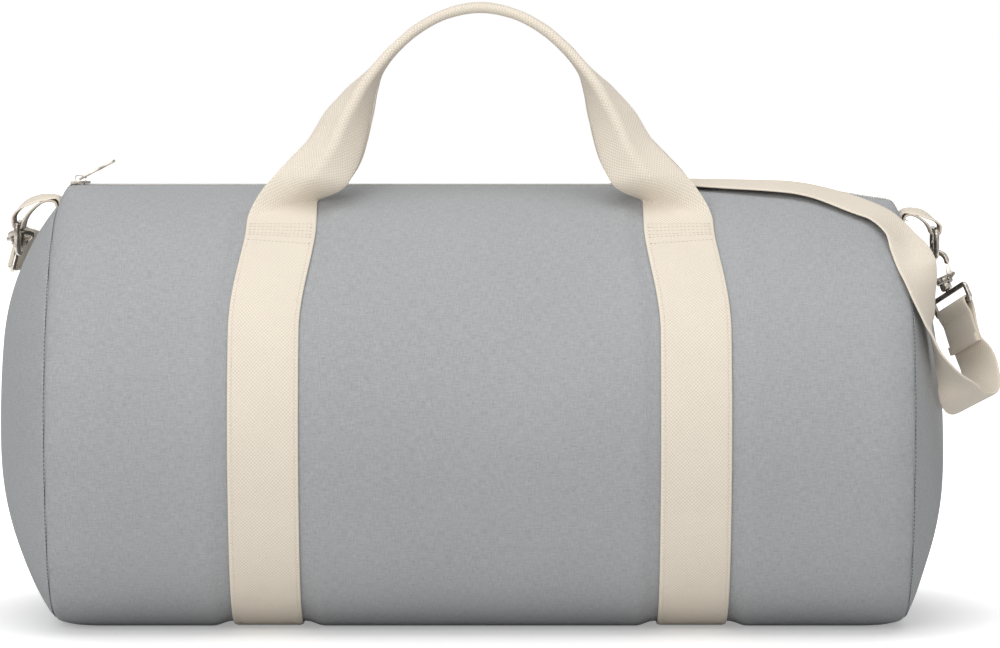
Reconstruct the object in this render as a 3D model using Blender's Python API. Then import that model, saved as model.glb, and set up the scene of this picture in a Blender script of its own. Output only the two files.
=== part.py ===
"""A barrel sports bag: canvas body, webbing bands and handles, a long zip and a clip-on shoulder strap.

Units are metres, +Z is up, +X runs along the bag and -Y is its front. The origin is on the floor under
the middle of the bag. Angles round the barrel start at its top and grow towards the front.
"""

import math

import bmesh
import bpy
from mathutils import Matrix, Vector

# Barrel
SEAM_LENGTH = 0.467
BODY_DEPTH = 0.254
BODY_HEIGHT = 0.241
WIDEST_HEIGHT = 0.112
BASE_SETTLE = 0.0025
CANVAS = 0.0012
CORNER_DROP = 0.0095
CORNER_RUN = 0.0285
ZIP_CORNER_RUN = 0.0060
BASE_FULLNESS = 0.7
BASE_DROP_SHARE = 0.35
TURN_STEP = math.radians(7.5)

# Clearance between pieces that touch on the real bag
GAP = 0.0003
# Depth by which a joined lump reaches into the piece that carries it
SINK = 0.0003

# End panels
BULGE_LEFT = 0.033
BULGE_RIGHT = 0.0246
CROWN_DROP_LEFT = 0.116
CROWN_DROP_RIGHT = 0.146
CROWN_POWER_LEFT = 2.8
CROWN_POWER_RIGHT = 2.1
DOME_RING_SHARES = (1.0, 0.965, 0.9, 0.8, 0.67, 0.5, 0.3, 0.12)
BINDING_WIDTH = 0.009
BINDING_THICK = 0.0014

# Carrying bands and handles
WEBBING_WIDTH = 0.038
WEBBING_THICK = 0.0020
BAND_OFFSET = 0.116
BAND_LEAN = 0.0079
BAND_LEAN_END = math.radians(85.0)
BAND_PINCH = 0.0026
PINCH_MARGIN = 0.0015
PINCH_RUN = 0.010
FOOT_ANGLE = math.radians(30.0)
FOOT_GAP = 0.0008
HANDLE_TOP = 0.340
HANDLE_INSET = 0.0035
GRIP_FOLD = math.radians(83.0)
# Across the bag as a share of the foot's offset, up as a share of the handle's rise, and share of the fold
HANDLE_SHARES = (
    (1.0, 0.0, 0.0),
    (0.982, 0.035, 0.01),
    (0.950, 0.08, 0.03),
    (0.907, 0.13, 0.07),
    (0.853, 0.19, 0.12),
    (0.799, 0.25, 0.19),
    (0.751, 0.31, 0.26),
    (0.708, 0.38, 0.35),
    (0.673, 0.45, 0.45),
    (0.633, 0.51, 0.58),
    (0.590, 0.58, 0.72),
    (0.558, 0.63, 0.84),
    (0.526, 0.69, 0.95),
    (0.453, 0.79, 1.0),
    (0.336, 0.898, 1.0),
    (0.182, 0.976, 1.0),
    (0.0, 1.0, 1.0),
)
HANDLE_STEP = 0.008
# Rise over which the strip turns from level feet to square on its own path, and its backward lean at each end
FOOT_TURN_SHARES = (0.08, 0.45)
LEAN_SHARES = (0.42, 0.05)

# Zip
SLOT_WIDTH = 0.014
TAPE_REACH = 0.016
TAPE_THICK = 0.0008
CHAIN_SPLIT = 0.0018
CHAIN_WIDTH = 0.0022
CHAIN_HEIGHT = 0.0018
SLIDER_LENGTH = 0.011
SLIDER_WIDTH = 0.0086
SLIDER_PLATE = 0.0012
SLIDER_FLANGE = 0.0009
SLIDER_NECK_WIDTH = 0.0012
SLIDER_NECK_LENGTH = 0.0035
SLIDER_BASE_TRIM = 0.001
BRIDGE_WIDTH = 0.0014
BRIDGE_SPAN = 0.0048
BRIDGE_RISE = 0.0026
BRIDGE_WIRE = 0.0009
PULL_LENGTH = 0.0215
PULL_WIDTH = 0.0048
PULL_THICK = 0.0014
PULL_BAR = 0.0008
PULL_WINDOW = 0.0040
PULL_ARM = 0.0012
PULL_LIFT = math.radians(28.0)

# End tabs and D-rings
TAB_WIDTH = 0.025
TAB_THICK = 0.0014
TAB_START = 0.0004
TAB_LAYER_GAP = 0.0004
RING_REACH_LEFT = 0.023
RING_REACH_RIGHT = 0.019
RING_DROP_LEFT = 0.012
RING_DROP_RIGHT = 0.0155
RING_INNER_WIDTH = 0.026
RING_WIRE = 0.0032
RING_DEPTH = 0.0163
RING_CORNER = 0.0020
RING_SIDE = 0.0065

# Snap hooks, measured from the middle of the hook's curl towards its eye
CURL_INNER = 0.0045
CURL_WIRE = 0.0031
HOOK_SEAT = 0.0005
HOOK_BLOCK_TOP = 0.0088
HOOK_BLOCK_BASE = 0.0130
HOOK_BLOCK_LEFT = 0.0042
HOOK_BLOCK_RIGHT = 0.0050
HOOK_BLOCK_THICK = 0.0052
HOOK_SLOT = 0.0024
HOOK_SLOT_LEFT = 0.0004
HOOK_BARREL_BASE = 0.0168
HOOK_BARREL_WIDTH = 0.0066
HOOK_BORE = 0.0030
HOOK_BORE_TOP = 0.0134
EYE_STEM = 0.0024
EYE_STEM_TOP = 0.0137
EYE_WIRE = 0.0030
EYE_TOP = 0.0187
EYE_BAR = 0.0277
EYE_INNER_WIDTH = 0.026
EYE_CORNER = 0.0018
GATE_PIVOT_ACROSS = 0.0032
GATE_PIVOT_DOWN = 0.0112
GATE_LENGTH = 0.0080
GATE_THICK = 0.0018
GATE_PIN = 0.0014
GATE_HOLE = 0.0020
GATE_PIN_OVERHANG = 0.0003
SPRING_THICK = 0.0003
SPRING_WIDTH = 0.0016

# Shoulder strap
STRAP_WIDTH = 0.025
STRAP_THICK = 0.0016
STRAP_TAIL = 0.0235
STRAP_LEAD = 0.0068
STRAP_LOOP = 0.050
STRAP_STEP = 0.0045
STRAP_BEND = math.radians(18.0)
STRAP_ZIP_LIFT = 0.0012
SEAM_LIFT = 0.0018
RETURN_LIFT = STRAP_THICK + 2 * GAP
RETURN_STOP = 0.0024
RETURN_SPREAD = 0.0010
ADJUSTER_LENGTH = 0.022
ADJUSTER_WIDTH = 0.031
ADJUSTER_BAR = 0.0025
ADJUSTER_THICK = 0.0020
ADJUSTER_SLOT_WIDTH = 0.0262
# Direction of each hook from its ring, and of the bar of each eye
RIGHT_HOOK_DIRECTION = Vector((0.36, -0.27, -0.893)).normalized()
LEFT_HOOK_DIRECTION = Vector((-0.14, 0.94, -0.30)).normalized()
RIGHT_BAR_DIRECTION = Vector((0.52, -0.71, 0.47))
LEFT_BAR_DIRECTION = Vector((0.22, 0.32, 0.92))
RIGHT_STRAP_DIRECTION = Vector((0.28, -0.30, -0.91)).normalized()
# Hanging loop on the right and on over the end seam: places from the eye's bar as shares of the loop's size, then
# the near edge
LOOP_SHARES = (
    ((0.240, -0.212, -0.597), (0.66, -0.50, 0.55)),
    ((0.263, -0.357, -0.786), (0.79, -0.40, 0.45)),
    ((0.238, -0.577, -0.925), (0.86, -0.20, 0.47)),
    ((0.163, -0.837, -0.984), (0.88, -0.08, 0.47)),
    ((0.053, -1.097, -0.964), (0.87, -0.16, 0.46)),
    ((-0.021, -1.317, -0.884), (0.86, -0.34, 0.37)),
    ((-0.077, -1.467, -0.746), (0.72, -0.66, 0.20)),
    ((-0.207, -1.597, -0.566), (0.38, -0.92, 0.05)),
    ((-0.321, -1.637, -0.356), (0.05, -0.99, 0.05)),
    ((-0.399, -1.637, -0.126), (-0.10, -0.99, 0.05)),
    ((-0.423, -1.637, 0.004), (-0.30, -0.95, 0.05)),
    ((-0.476, -1.580, 0.292), (-0.59, -0.80, 0.10)),
    ((-0.503, -1.522, 0.474), (-0.76, -0.64, 0.08)),
    ((-0.538, -1.447, 0.624), (-0.88, -0.46, 0.10)),
    ((-0.594, -1.263, 0.794), (-0.84, -0.53, 0.08)),
)
RIGHT_CUT_ROW = 11
# Over the top and down the back: shares of the half length, and degrees round the barrel
OVER_TOP_SHARES = (
    (0.976, 29.0),
    (0.938, 21.5),
    (0.882, 17.8),
    (0.797, 13.2),
    (0.685, 9.8),
    (0.591, 7.8),
    (0.518, 5.5),
    (0.467, 0.5),
    (0.412, -7.5),
    (0.348, -17.0),
    (0.283, -30.0),
    (0.238, -46.0),
    (0.205, -63.0),
    (0.136, -78.0),
    (0.034, -90.0),
    (-0.107, -97.0),
    (-0.257, -99.0),
    (-0.428, -95.0),
    (-0.600, -87.0),
    (-0.750, -77.0),
    (-0.870, -68.0),
    (-0.951, -61.0),
)
ADJUSTER_ROW = 16
LEFT_SEAM_ANGLE = -56.0
# Round the left end panel: share to the seam, degrees, and lift off it as a share of the ring's reach
LEFT_DOME_SHARES = ((0.93, -50.0, 0.09), (0.87, -42.0, 0.18), (0.84, -35.0, 0.29))

SEAM_HALF = SEAM_LENGTH / 2
LEFT, RIGHT = -1, 1


def clear_scene():
    for old in list(bpy.data.objects):
        bpy.data.objects.remove(old, do_unlink=True)


def make_material(name, colour, roughness, metallic=0.0):
    made = bpy.data.materials.new(name)
    made.use_nodes = True
    shader = made.node_tree.nodes["Principled BSDF"]
    shader.inputs["Base Color"].default_value = (*colour, 1.0)
    shader.inputs["Roughness"].default_value = roughness
    shader.inputs["Metallic"].default_value = metallic
    return made


def add_object(name, points, faces, material, smooth=True):
    """A named object from points and faces, with its faces turned outwards."""
    mesh = bpy.data.meshes.new(name)
    mesh.from_pydata([tuple(point) for point in points], [], faces)
    work = bmesh.new()
    work.from_mesh(mesh)
    bmesh.ops.recalc_face_normals(work, faces=work.faces)
    work.to_mesh(mesh)
    work.free()
    if smooth:
        mesh.shade_smooth()
        mesh.set_sharp_from_angle(angle=math.radians(40.0))
    mesh.materials.append(material)
    made = bpy.data.objects.new(name, mesh)
    bpy.context.scene.collection.objects.link(made)
    return made


def sweep(name, loops, material, closed=False):
    """A solid through a row of loops with equal counts, capped at both ends or closed on itself."""
    count = len(loops[0])
    points = [point for loop in loops for point in loop]
    faces = []
    for row in range(len(loops) if closed else len(loops) - 1):
        following = (row + 1) % len(loops)
        for col in range(count):
            beside = (col + 1) % count
            faces.append(
                (row * count + col, row * count + beside, following * count + beside, following * count + col)
            )
    if not closed:
        faces.append(tuple(range(count)))
        faces.append(tuple(range((len(loops) - 1) * count, len(loops) * count)))
    return add_object(name, points, faces, material)


def thick_sheet(name, outer, inner, material, wraps=False):
    """A solid between two grids of points, walled along its free edges."""
    rows, cols = len(outer), len(outer[0])
    points = [point for grid in (outer, inner) for row in grid for point in row]
    depth = rows * cols
    faces = []
    for row in range(rows - 1):
        for col in range(cols if wraps else cols - 1):
            beside = (col + 1) % cols
            quad = (row * cols + col, row * cols + beside, (row + 1) * cols + beside, (row + 1) * cols + col)
            faces.append(quad)
            faces.append(tuple(corner + depth for corner in quad))
    for row in (0, rows - 1):
        for col in range(cols if wraps else cols - 1):
            first, second = row * cols + col, row * cols + (col + 1) % cols
            faces.append((first, second, second + depth, first + depth))
    if not wraps:
        for col in (0, cols - 1):
            for row in range(rows - 1):
                first, second = row * cols + col, (row + 1) * cols + col
                faces.append((first, second, second + depth, first + depth))
    return add_object(name, points, faces, material)


def outline_solid(name, outline, place, half_thick, material):
    """An outline in two directions, given thickness along the third. place turns (a, b, c) into a point."""
    loops = [[place(a, b, c) for a, b in outline] for c in (-half_thick, half_thick)]
    return sweep(name, loops, material)


def box_outline(left, right, base, top):
    return [(left, base), (right, base), (right, top), (left, top)]


def round_outline(across, up, radius, sides):
    turns = [math.tau * (side + 0.5) / sides for side in range(sides)]
    return [(across + radius * math.cos(turn), up + radius * math.sin(turn)) for turn in turns]


def combine(body, helper, operation):
    """Joins the helper to the body or cuts it away, and hides the helper."""
    modifier = body.modifiers.new(helper.name, "BOOLEAN")
    modifier.operation = operation
    modifier.object = helper
    helper.hide_render = True
    helper.display_type = "WIRE"


def blend(low, high, share):
    return low + (high - low) * share


def ease(value, start, end):
    share = min(1.0, max(0.0, (value - start) / (end - start)))
    return share * share * (3.0 - 2.0 * share)


# Shape of the barrel


def band_offset(angle):
    """How far the middle of a band is from the middle of the bag. Near the handles' feet the bands lean inwards."""
    angle = math.remainder(angle, math.tau)
    return BAND_OFFSET - BAND_LEAN * (1.0 - ease(abs(angle), FOOT_ANGLE, BAND_LEAN_END))


def band_pinch(x, angle):
    """How deep the band presses into the canvas. Above the handles' feet the canvas is free again."""
    edge = WEBBING_WIDTH / 2 + PINCH_MARGIN
    beside = ease(abs(abs(x) - band_offset(angle)), edge, edge + PINCH_RUN)
    return BAND_PINCH * (1.0 - beside) * ease(abs(angle), FOOT_ANGLE - 2 * TURN_STEP, FOOT_ANGLE - TURN_STEP / 2)


def corner_inset(x, angle):
    """How far the end of the barrel is drawn in. The zip line holds the crest up nearly to the seam."""
    wide = max(0.0, abs(x) - SEAM_HALF + CORNER_RUN) / CORNER_RUN
    narrow = max(0.0, abs(x) - SEAM_HALF + ZIP_CORNER_RUN) / ZIP_CORNER_RUN
    off_crest = ease(abs(angle), math.radians(8.0), math.radians(18.0))
    drop = CORNER_DROP * blend(narrow**1.5, wide**3, off_crest)
    return drop * blend(BASE_DROP_SHARE, 1.0, (1.0 + math.cos(angle)) / 2)


def body_point(x, angle, inset=0.0, pinched=True):
    """A point of the barrel's outside, or of a shell that lies further in."""
    angle = math.remainder(angle, math.tau)
    floor = inset + (band_pinch(x, angle) if pinched else 0.0)
    squeeze = floor + corner_inset(x, angle)
    depth = BODY_DEPTH / 2 - squeeze
    if math.cos(angle) > 0:
        height = BODY_HEIGHT - WIDEST_HEIGHT - squeeze
    else:
        height = WIDEST_HEIGHT + BASE_SETTLE - squeeze
    power = 2.0 + BASE_FULLNESS * ease(abs(angle), math.radians(90.0), math.radians(150.0))
    side, up = abs(math.sin(angle)), abs(math.cos(angle))
    radius = ((side / depth) ** power + (up / height) ** power) ** (-1.0 / power)
    level = WIDEST_HEIGHT + radius * math.cos(angle)
    return Vector((x, -radius * math.sin(angle), max(level, floor)))


def end_sizes(side):
    if side == LEFT:
        return BULGE_LEFT, BODY_HEIGHT - CROWN_DROP_LEFT, CROWN_POWER_LEFT
    return BULGE_RIGHT, BODY_HEIGHT - CROWN_DROP_RIGHT, CROWN_POWER_RIGHT


def dome_point(side, share, angle, lift=0.0, inset=0.0):
    """A point of an end panel at a share of the way from its crown to its seam, and the normal there."""
    bulge, crown_height, power = end_sizes(side)
    rim = body_point(side * SEAM_HALF, angle, inset)
    radial = Vector((0.0, rim.y, rim.z - crown_height))
    out = (bulge - inset) * (1.0 - share**power)
    slope = (bulge - inset) * power * share ** (power - 1.0) / radial.length
    normal = (Vector((side, 0.0, 0.0)) + radial.normalized() * slope).normalized()
    point = Vector((side * (SEAM_HALF + GAP + out), share * radial.y, crown_height + share * radial.z))
    return point + normal * lift, normal


def turn_angles(start, end):
    """Angles on the barrel's own facet lines between two angles, with both ends."""
    first = math.floor(start / TURN_STEP + 1.0)
    last = math.ceil(end / TURN_STEP - 1.0)
    return [start, *(step * TURN_STEP for step in range(first, last + 1)), end]


def lengthwise_stations(angle):
    """Places along the barrel: close together at the corners and beside the bands."""
    edge = WEBBING_WIDTH / 2 + PINCH_MARGIN
    middle = band_offset(angle)
    found = {0.0, SEAM_HALF - CORNER_RUN, SEAM_HALF}
    found |= {SEAM_HALF - CORNER_RUN * share for share in (0.58, 0.37)}
    found |= {SEAM_HALF - ZIP_CORNER_RUN * share for share in (1.0, 0.62, 0.3)}
    for share in (0.0, 0.33, 0.67, 1.0):
        found |= {middle - edge - PINCH_RUN * share, middle + edge + PINCH_RUN * share}
    half = sorted(found)
    return [-x for x in reversed(half) if x > 0] + half


# Canvas


def make_main_panel(canvas):
    slot_angle = math.asin(SLOT_WIDTH / BODY_DEPTH)
    angles = turn_angles(slot_angle, math.tau - slot_angle)
    grids = []
    for inset in (0.0, CANVAS):
        grids.append([[body_point(x, angle, inset) for x in lengthwise_stations(angle)] for angle in angles])
    thick_sheet("main_panel", *grids, canvas)


def make_end_panel(side, name, canvas):
    """A domed disc with a crown point on each face."""
    angles = [step * TURN_STEP for step in range(round(math.tau / TURN_STEP))]
    points, faces = [], []
    for inset in (0.0, CANVAS):
        start = len(points)
        for share in DOME_RING_SHARES:
            points.extend(dome_point(side, share, angle, inset=inset)[0] for angle in angles)
        points.append(dome_point(side, 0.0, 0.0, inset=inset)[0])
        crown = len(points) - 1
        for row in range(len(DOME_RING_SHARES) - 1):
            for col in range(len(angles)):
                beside = (col + 1) % len(angles)
                near, far = start + row * len(angles), start + (row + 1) * len(angles)
                faces.append((near + col, near + beside, far + beside, far + col))
        last = start + (len(DOME_RING_SHARES) - 1) * len(angles)
        for col in range(len(angles)):
            faces.append((last + col, last + (col + 1) % len(angles), crown))
    inner = len(points) // 2
    for col in range(len(angles)):
        beside = (col + 1) % len(angles)
        faces.append((col, beside, inner + beside, inner + col))
    add_object(name, points, faces, canvas)


def make_binding(side, name, webbing):
    angles = turn_angles(3 * TURN_STEP, math.tau - 3 * TURN_STEP)
    stations = [side * (SEAM_HALF - GAP - BINDING_WIDTH * share) for share in (0.0, 0.5, 1.0)]
    grids = []
    for inset in (CANVAS + 2 * GAP, CANVAS + 2 * GAP + BINDING_THICK):
        grids.append([[body_point(x, angle, inset) for angle in angles] for x in stations])
    thick_sheet(name, *grids, webbing)


# Webbing bands and handles


def make_band(side, name, webbing):
    angles = turn_angles(FOOT_ANGLE, math.tau - FOOT_ANGLE)
    grids = []
    for inset in (-GAP - WEBBING_THICK, -GAP):
        rows = []
        for angle in angles:
            edges = [side * (band_offset(angle) + WEBBING_WIDTH * share) for share in (-0.5, 0.5)]
            rows.append([body_point(x, angle, inset) for x in edges])
        grids.append(rows)
    thick_sheet(name, *grids, webbing)


def handle_foot():
    """The middle of the webbing at the front foot, where the handle leaves the barrel."""
    return body_point(band_offset(FOOT_ANGLE), FOOT_ANGLE, -GAP - WEBBING_THICK / 2)


def make_handle(facing, name, webbing):
    """One strip that stands on two feet and is folded lengthwise at the grip. facing is 1 for the front."""
    foot = handle_foot()
    foot_y = abs(foot.y) - FOOT_GAP
    rows = []
    for across, up, fold in HANDLE_SHARES:
        y = blend(foot_y, HANDLE_INSET, up)
        rows.append((across * foot.x, -facing * y, blend(foot.z + FOOT_GAP, HANDLE_TOP, up), fold))
    rows = smooth_rows(rows, HANDLE_STEP)
    rows = [(-x, y, z, fold) for x, y, z, fold in rows] + rows[-2::-1]
    places = [Vector(row[:3]) for row in rows]
    loops = []
    for index, (row, place) in enumerate(zip(rows, places)):
        before, after = places[max(0, index - 1)], places[min(len(rows) - 1, index + 1)]
        along = (after - before).normalized()
        rise = (place.z - foot.z) / (HANDLE_TOP - foot.z)
        lean = Vector((0.0, -facing, blend(*LEAN_SHARES, rise)))
        front = (lean - along * lean.dot(along)).normalized()
        level = Vector((facing * math.copysign(1.0, along.z), 0.0, 0.0))
        wide = level.lerp(along.cross(front), ease(rise, *FOOT_TURN_SHARES)).normalized()
        front = (lean - wide * lean.dot(wide)).normalized()
        loops.append([place + wide * a + front * b for a, b in folded_section(row[3] * GRIP_FOLD)])
    return sweep(name, loops, webbing)


def folded_section(turn):
    """Six corners of the webbing, flat or with both halves turned forwards about its middle line."""
    half = WEBBING_WIDTH / 2
    back = -WEBBING_THICK / 2
    side, forward = half * math.cos(turn), half * math.sin(turn)
    lip_side, lip_forward = WEBBING_THICK * math.sin(turn), WEBBING_THICK * math.cos(turn)
    return [
        (0.0, back),
        (side, back + forward),
        (side - lip_side, back + forward + lip_forward),
        (0.0, back + WEBBING_THICK / math.cos(turn)),
        (lip_side - side, back + forward + lip_forward),
        (-side, back + forward),
    ]


# Zip


def tape_top():
    return BODY_HEIGHT - CANVAS - GAP


def chain_top():
    return tape_top() + GAP + CHAIN_HEIGHT


def zip_half():
    return SEAM_HALF - ZIP_CORNER_RUN


def make_tape(facing, name, webbing):
    """Half of the zip's tape, under the canvas and level across the slot."""
    edges = [CHAIN_SPLIT / 2, SLOT_WIDTH / 2, TAPE_REACH]
    angles = [facing * math.asin(2 * edge / BODY_DEPTH) for edge in edges]
    grids = []
    for inset in (CANVAS + GAP, CANVAS + GAP + TAPE_THICK):
        grids.append([[body_point(x, a, inset, False) for a in angles] for x in (-zip_half(), 0.0, zip_half())])
    thick_sheet(name, *grids, webbing)


def make_chain(facing, name, webbing):
    near, far = CHAIN_SPLIT / 2, CHAIN_SPLIT / 2 + CHAIN_WIDTH
    outline = box_outline(near, far, tape_top() + GAP, chain_top())
    outline_solid(name, outline, lambda a, b, c: Vector((c, -facing * a, b)), zip_half(), webbing)


def slider_place():
    return Vector((-zip_half() + SLIDER_LENGTH / 2, 0.0, 0.0))


def make_slider(metal):
    """Two plates joined by a neck between the chain halves, flanges at the sides and a bridge on top."""
    middle = slider_place()
    plate_base = chain_top() + GAP
    plate_top = plate_base + SLIDER_PLATE
    base_top = tape_top() - TAPE_THICK - 2 * GAP
    half_width = SLIDER_WIDTH / 2

    def along(a, b, c):
        return middle + Vector((a, c, b))

    def upward(a, b, c):
        return middle + Vector((a, b, c))

    nose = SLIDER_LENGTH / 2
    top_outline = [(-nose, -half_width), (nose / 3, -half_width), (nose, -half_width / 2)]
    top_outline += [(a, -b) for a, b in reversed(top_outline)]
    half = SLIDER_PLATE / 2
    body = outline_solid(
        "zip_slider", top_outline, lambda a, b, c: upward(a, b, plate_base + half + c), half, metal
    )
    base_outline = [(a * (1 - SLIDER_BASE_TRIM / nose), b) for a, b in top_outline]
    base = outline_solid(
        "slider_base", base_outline, lambda a, b, c: upward(a, b, base_top - half + c), half, metal
    )
    neck = outline_solid(
        "slider_neck",
        box_outline(-SLIDER_NECK_LENGTH / 2, SLIDER_NECK_LENGTH / 2, base_top - SINK, plate_base + SINK),
        along,
        SLIDER_NECK_WIDTH / 2,
        metal,
    )
    combine(body, neck, "UNION")
    combine(body, base, "UNION")
    for sign in (-1, 1):
        centre = sign * (half_width - SLIDER_FLANGE / 2)
        flange = outline_solid(
            "slider_flange",
            box_outline(-nose, nose / 3, tape_top() + GAP, plate_base + SINK),
            lambda a, b, c: along(a, b, centre + c),
            SLIDER_FLANGE / 2,
            metal,
        )
        combine(body, flange, "UNION")
    foot, leg = BRIDGE_SPAN / 2, BRIDGE_SPAN / 2 + BRIDGE_WIRE
    low, high = plate_top - SINK, plate_top + BRIDGE_RISE
    shoulder = high + BRIDGE_WIRE
    arch = [(-leg, low), (-foot, low), (-foot, high), (foot, high), (foot, low), (leg, low)]
    arch += [(leg, high), (foot, shoulder), (-foot, shoulder), (-leg, high)]
    bridge = outline_solid("slider_bridge", arch, along, BRIDGE_WIDTH / 2, metal)
    combine(body, bridge, "UNION")


def puller_pivot():
    return slider_place() + Vector((0.0, 0.0, chain_top() + GAP + SLIDER_PLATE + BRIDGE_RISE / 2))


def make_puller(metal):
    """A flat tab on a cross bar that sits in the slider's bridge, lifted off the zip."""
    half = PULL_WIDTH / 2
    waist = PULL_BAR + PULL_WINDOW + PULL_ARM
    outline = [(-PULL_BAR, -half), (waist, -half), (waist + PULL_ARM, -half * 0.8)]
    outline += [(PULL_LENGTH - half, -half * 0.8), (PULL_LENGTH - half / 4, -half * 0.55)]
    outline += [(PULL_LENGTH, -half * 0.2)]
    outline += [(a, -b) for a, b in reversed(outline)]
    empty = bpy.data.objects.new("puller_pivot", None)
    bpy.context.scene.collection.objects.link(empty)
    empty.matrix_world = Matrix.Translation(puller_pivot()) @ Matrix.Rotation(-PULL_LIFT, 4, "Y")
    body = outline_solid("zip_puller", outline, lambda a, b, c: Vector((a, b, c)), PULL_THICK / 2, metal)
    inner = half - PULL_ARM
    window = outline_solid(
        "puller_window",
        box_outline(PULL_BAR, PULL_BAR + PULL_WINDOW, -inner, inner),
        lambda a, b, c: Vector((a, b, c)),
        PULL_THICK,
        metal,
    )
    body.parent = empty
    window.parent = empty
    combine(body, window, "DIFFERENCE")


# Tabs, rings and snap hooks


def ring_place(side):
    """The middle of the ring's straight bar."""
    reach, drop = (RING_REACH_LEFT, RING_DROP_LEFT) if side == LEFT else (RING_REACH_RIGHT, RING_DROP_RIGHT)
    seam_top = body_point(side * SEAM_HALF, 0.0)
    return Vector((side * (SEAM_HALF + reach), 0.0, seam_top.z - drop))


def smooth_rows(rows, step):
    """Points about one step apart on a smooth curve through rows of equal length, by their first three values."""
    size = len(rows[0])
    knots = [0.0]
    for before, after in zip(rows, rows[1:]):
        knots.append(knots[-1] + math.dist(before[:3], after[:3]))
    slopes = []
    for index in range(len(rows)):
        low, high = max(0, index - 1), min(len(rows) - 1, index + 1)
        run = knots[high] - knots[low]
        slopes.append([(rows[high][k] - rows[low][k]) / run for k in range(size)])
    found = []
    for index in range(len(rows) - 1):
        run = knots[index + 1] - knots[index]
        count = max(1, round(run / step))
        for part in range(count):
            t = part / count
            weights = (2 * t**3 - 3 * t**2 + 1, t**3 - 2 * t**2 + t, 3 * t**2 - 2 * t**3, t**3 - t**2)
            found.append(
                [
                    weights[0] * rows[index][k]
                    + weights[1] * slopes[index][k] * run
                    + weights[2] * rows[index + 1][k]
                    + weights[3] * slopes[index + 1][k] * run
                    for k in range(size)
                ]
            )
    found.append(list(rows[-1]))
    return found


def path_ways(places):
    """The direction of travel at each place of a path."""
    last = len(places) - 1
    return [(places[min(last, i + 1)] - places[max(0, i - 1)]).normalized() for i in range(last + 1)]


def ribbon_loops(places, ways, faces_out, width, thick):
    """Four corners of a flat strip at each place, with one face towards its own outward direction."""
    loops = []
    for place, along, facing in zip(places, ways, faces_out):
        across = facing.cross(along).normalized() * (width / 2)
        out = along.cross(across).normalized() * (thick / 2)
        loops.append([place + across + out, place - across + out, place - across - out, place + across - out])
    return loops


def make_tab(side, name, webbing):
    """Two layers of webbing from the top of the end seam to the ring and round its bar."""
    bar = ring_place(side)
    seam_top = body_point(side * SEAM_HALF, 0.0)
    reach = abs(bar.x) - SEAM_HALF
    drop = seam_top.z - bar.z
    lower = GAP + TAB_THICK / 2
    upper = lower + TAB_THICK + TAB_LAYER_GAP
    turn = RING_WIRE / 2 + GAP + TAB_THICK / 2
    path = [(TAB_START, upper), (reach * 0.2, upper), (reach * 0.52, upper * 0.8)]
    path += [(reach * 0.88, -drop * 0.16), (reach + turn * 0.9, -drop * 0.62)]
    for step in range(7):
        angle = -math.pi * step / 6
        path.append((reach + turn * math.cos(angle), -drop + turn * math.sin(angle)))
    path += [(reach * 0.8 - turn * 0.4, -drop * 0.55), (reach * 0.52, -drop * 0.12)]
    path += [(reach * 0.2, lower * 0.95), (TAB_START, lower)]
    rows = smooth_rows([(a, 0.0, b) for a, b in path], TAB_THICK)
    places = [Vector((side * (SEAM_HALF + a), b, seam_top.z + c)) for a, b, c in rows]
    ways = path_ways(places)
    outward = [way.cross(Vector((0.0, -side, 0.0))) for way in ways]
    sweep(name, ribbon_loops(places, ways, outward, TAB_WIDTH, TAB_THICK), webbing)


def wire_loops(places, axis, radius, sides, closed):
    """Round sections of a wire whose middle line lies in a plane square to the axis."""
    loops = []
    count = len(places)
    for index, place in enumerate(places):
        if closed:
            along = places[(index + 1) % count] - places[index - 1]
        else:
            along = places[min(count - 1, index + 1)] - places[max(0, index - 1)]
        across = along.cross(axis).normalized()
        loop = []
        for side in range(sides):
            turn = math.tau * (side + 0.5) / sides
            loop.append(place + (axis * math.cos(turn) + across * math.sin(turn)) * radius)
        loops.append(loop)
    return loops


def arc(across, up, wide, high, start, end, steps):
    """Points on part of an ellipse, in degrees."""
    turns = [math.radians(start + (end - start) * step / steps) for step in range(steps + 1)]
    return [(across + wide * math.cos(turn), up + high * math.sin(turn)) for turn in turns]


def ring_outline():
    """Middle line of the D-ring's wire: its straight bar on top and a round bow below."""
    half = (RING_INNER_WIDTH + RING_WIRE) / 2
    inner = half - RING_CORNER
    outline = arc(inner, -RING_CORNER, RING_CORNER, RING_CORNER, 90.0, 0.0, 3)
    outline += arc(0.0, -RING_SIDE, half, RING_DEPTH - RING_SIDE, 0.0, -180.0, 12)
    outline += arc(-inner, -RING_CORNER, RING_CORNER, RING_CORNER, 180.0, 90.0, 3)
    return outline


def make_ring(side, name, metal):
    bar = ring_place(side)
    places = [bar + Vector((0.0, a, b)) for a, b in ring_outline()]
    sweep(name, wire_loops(places, Vector((1.0, 0.0, 0.0)), RING_WIRE / 2, 8, True), metal, True)


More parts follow.
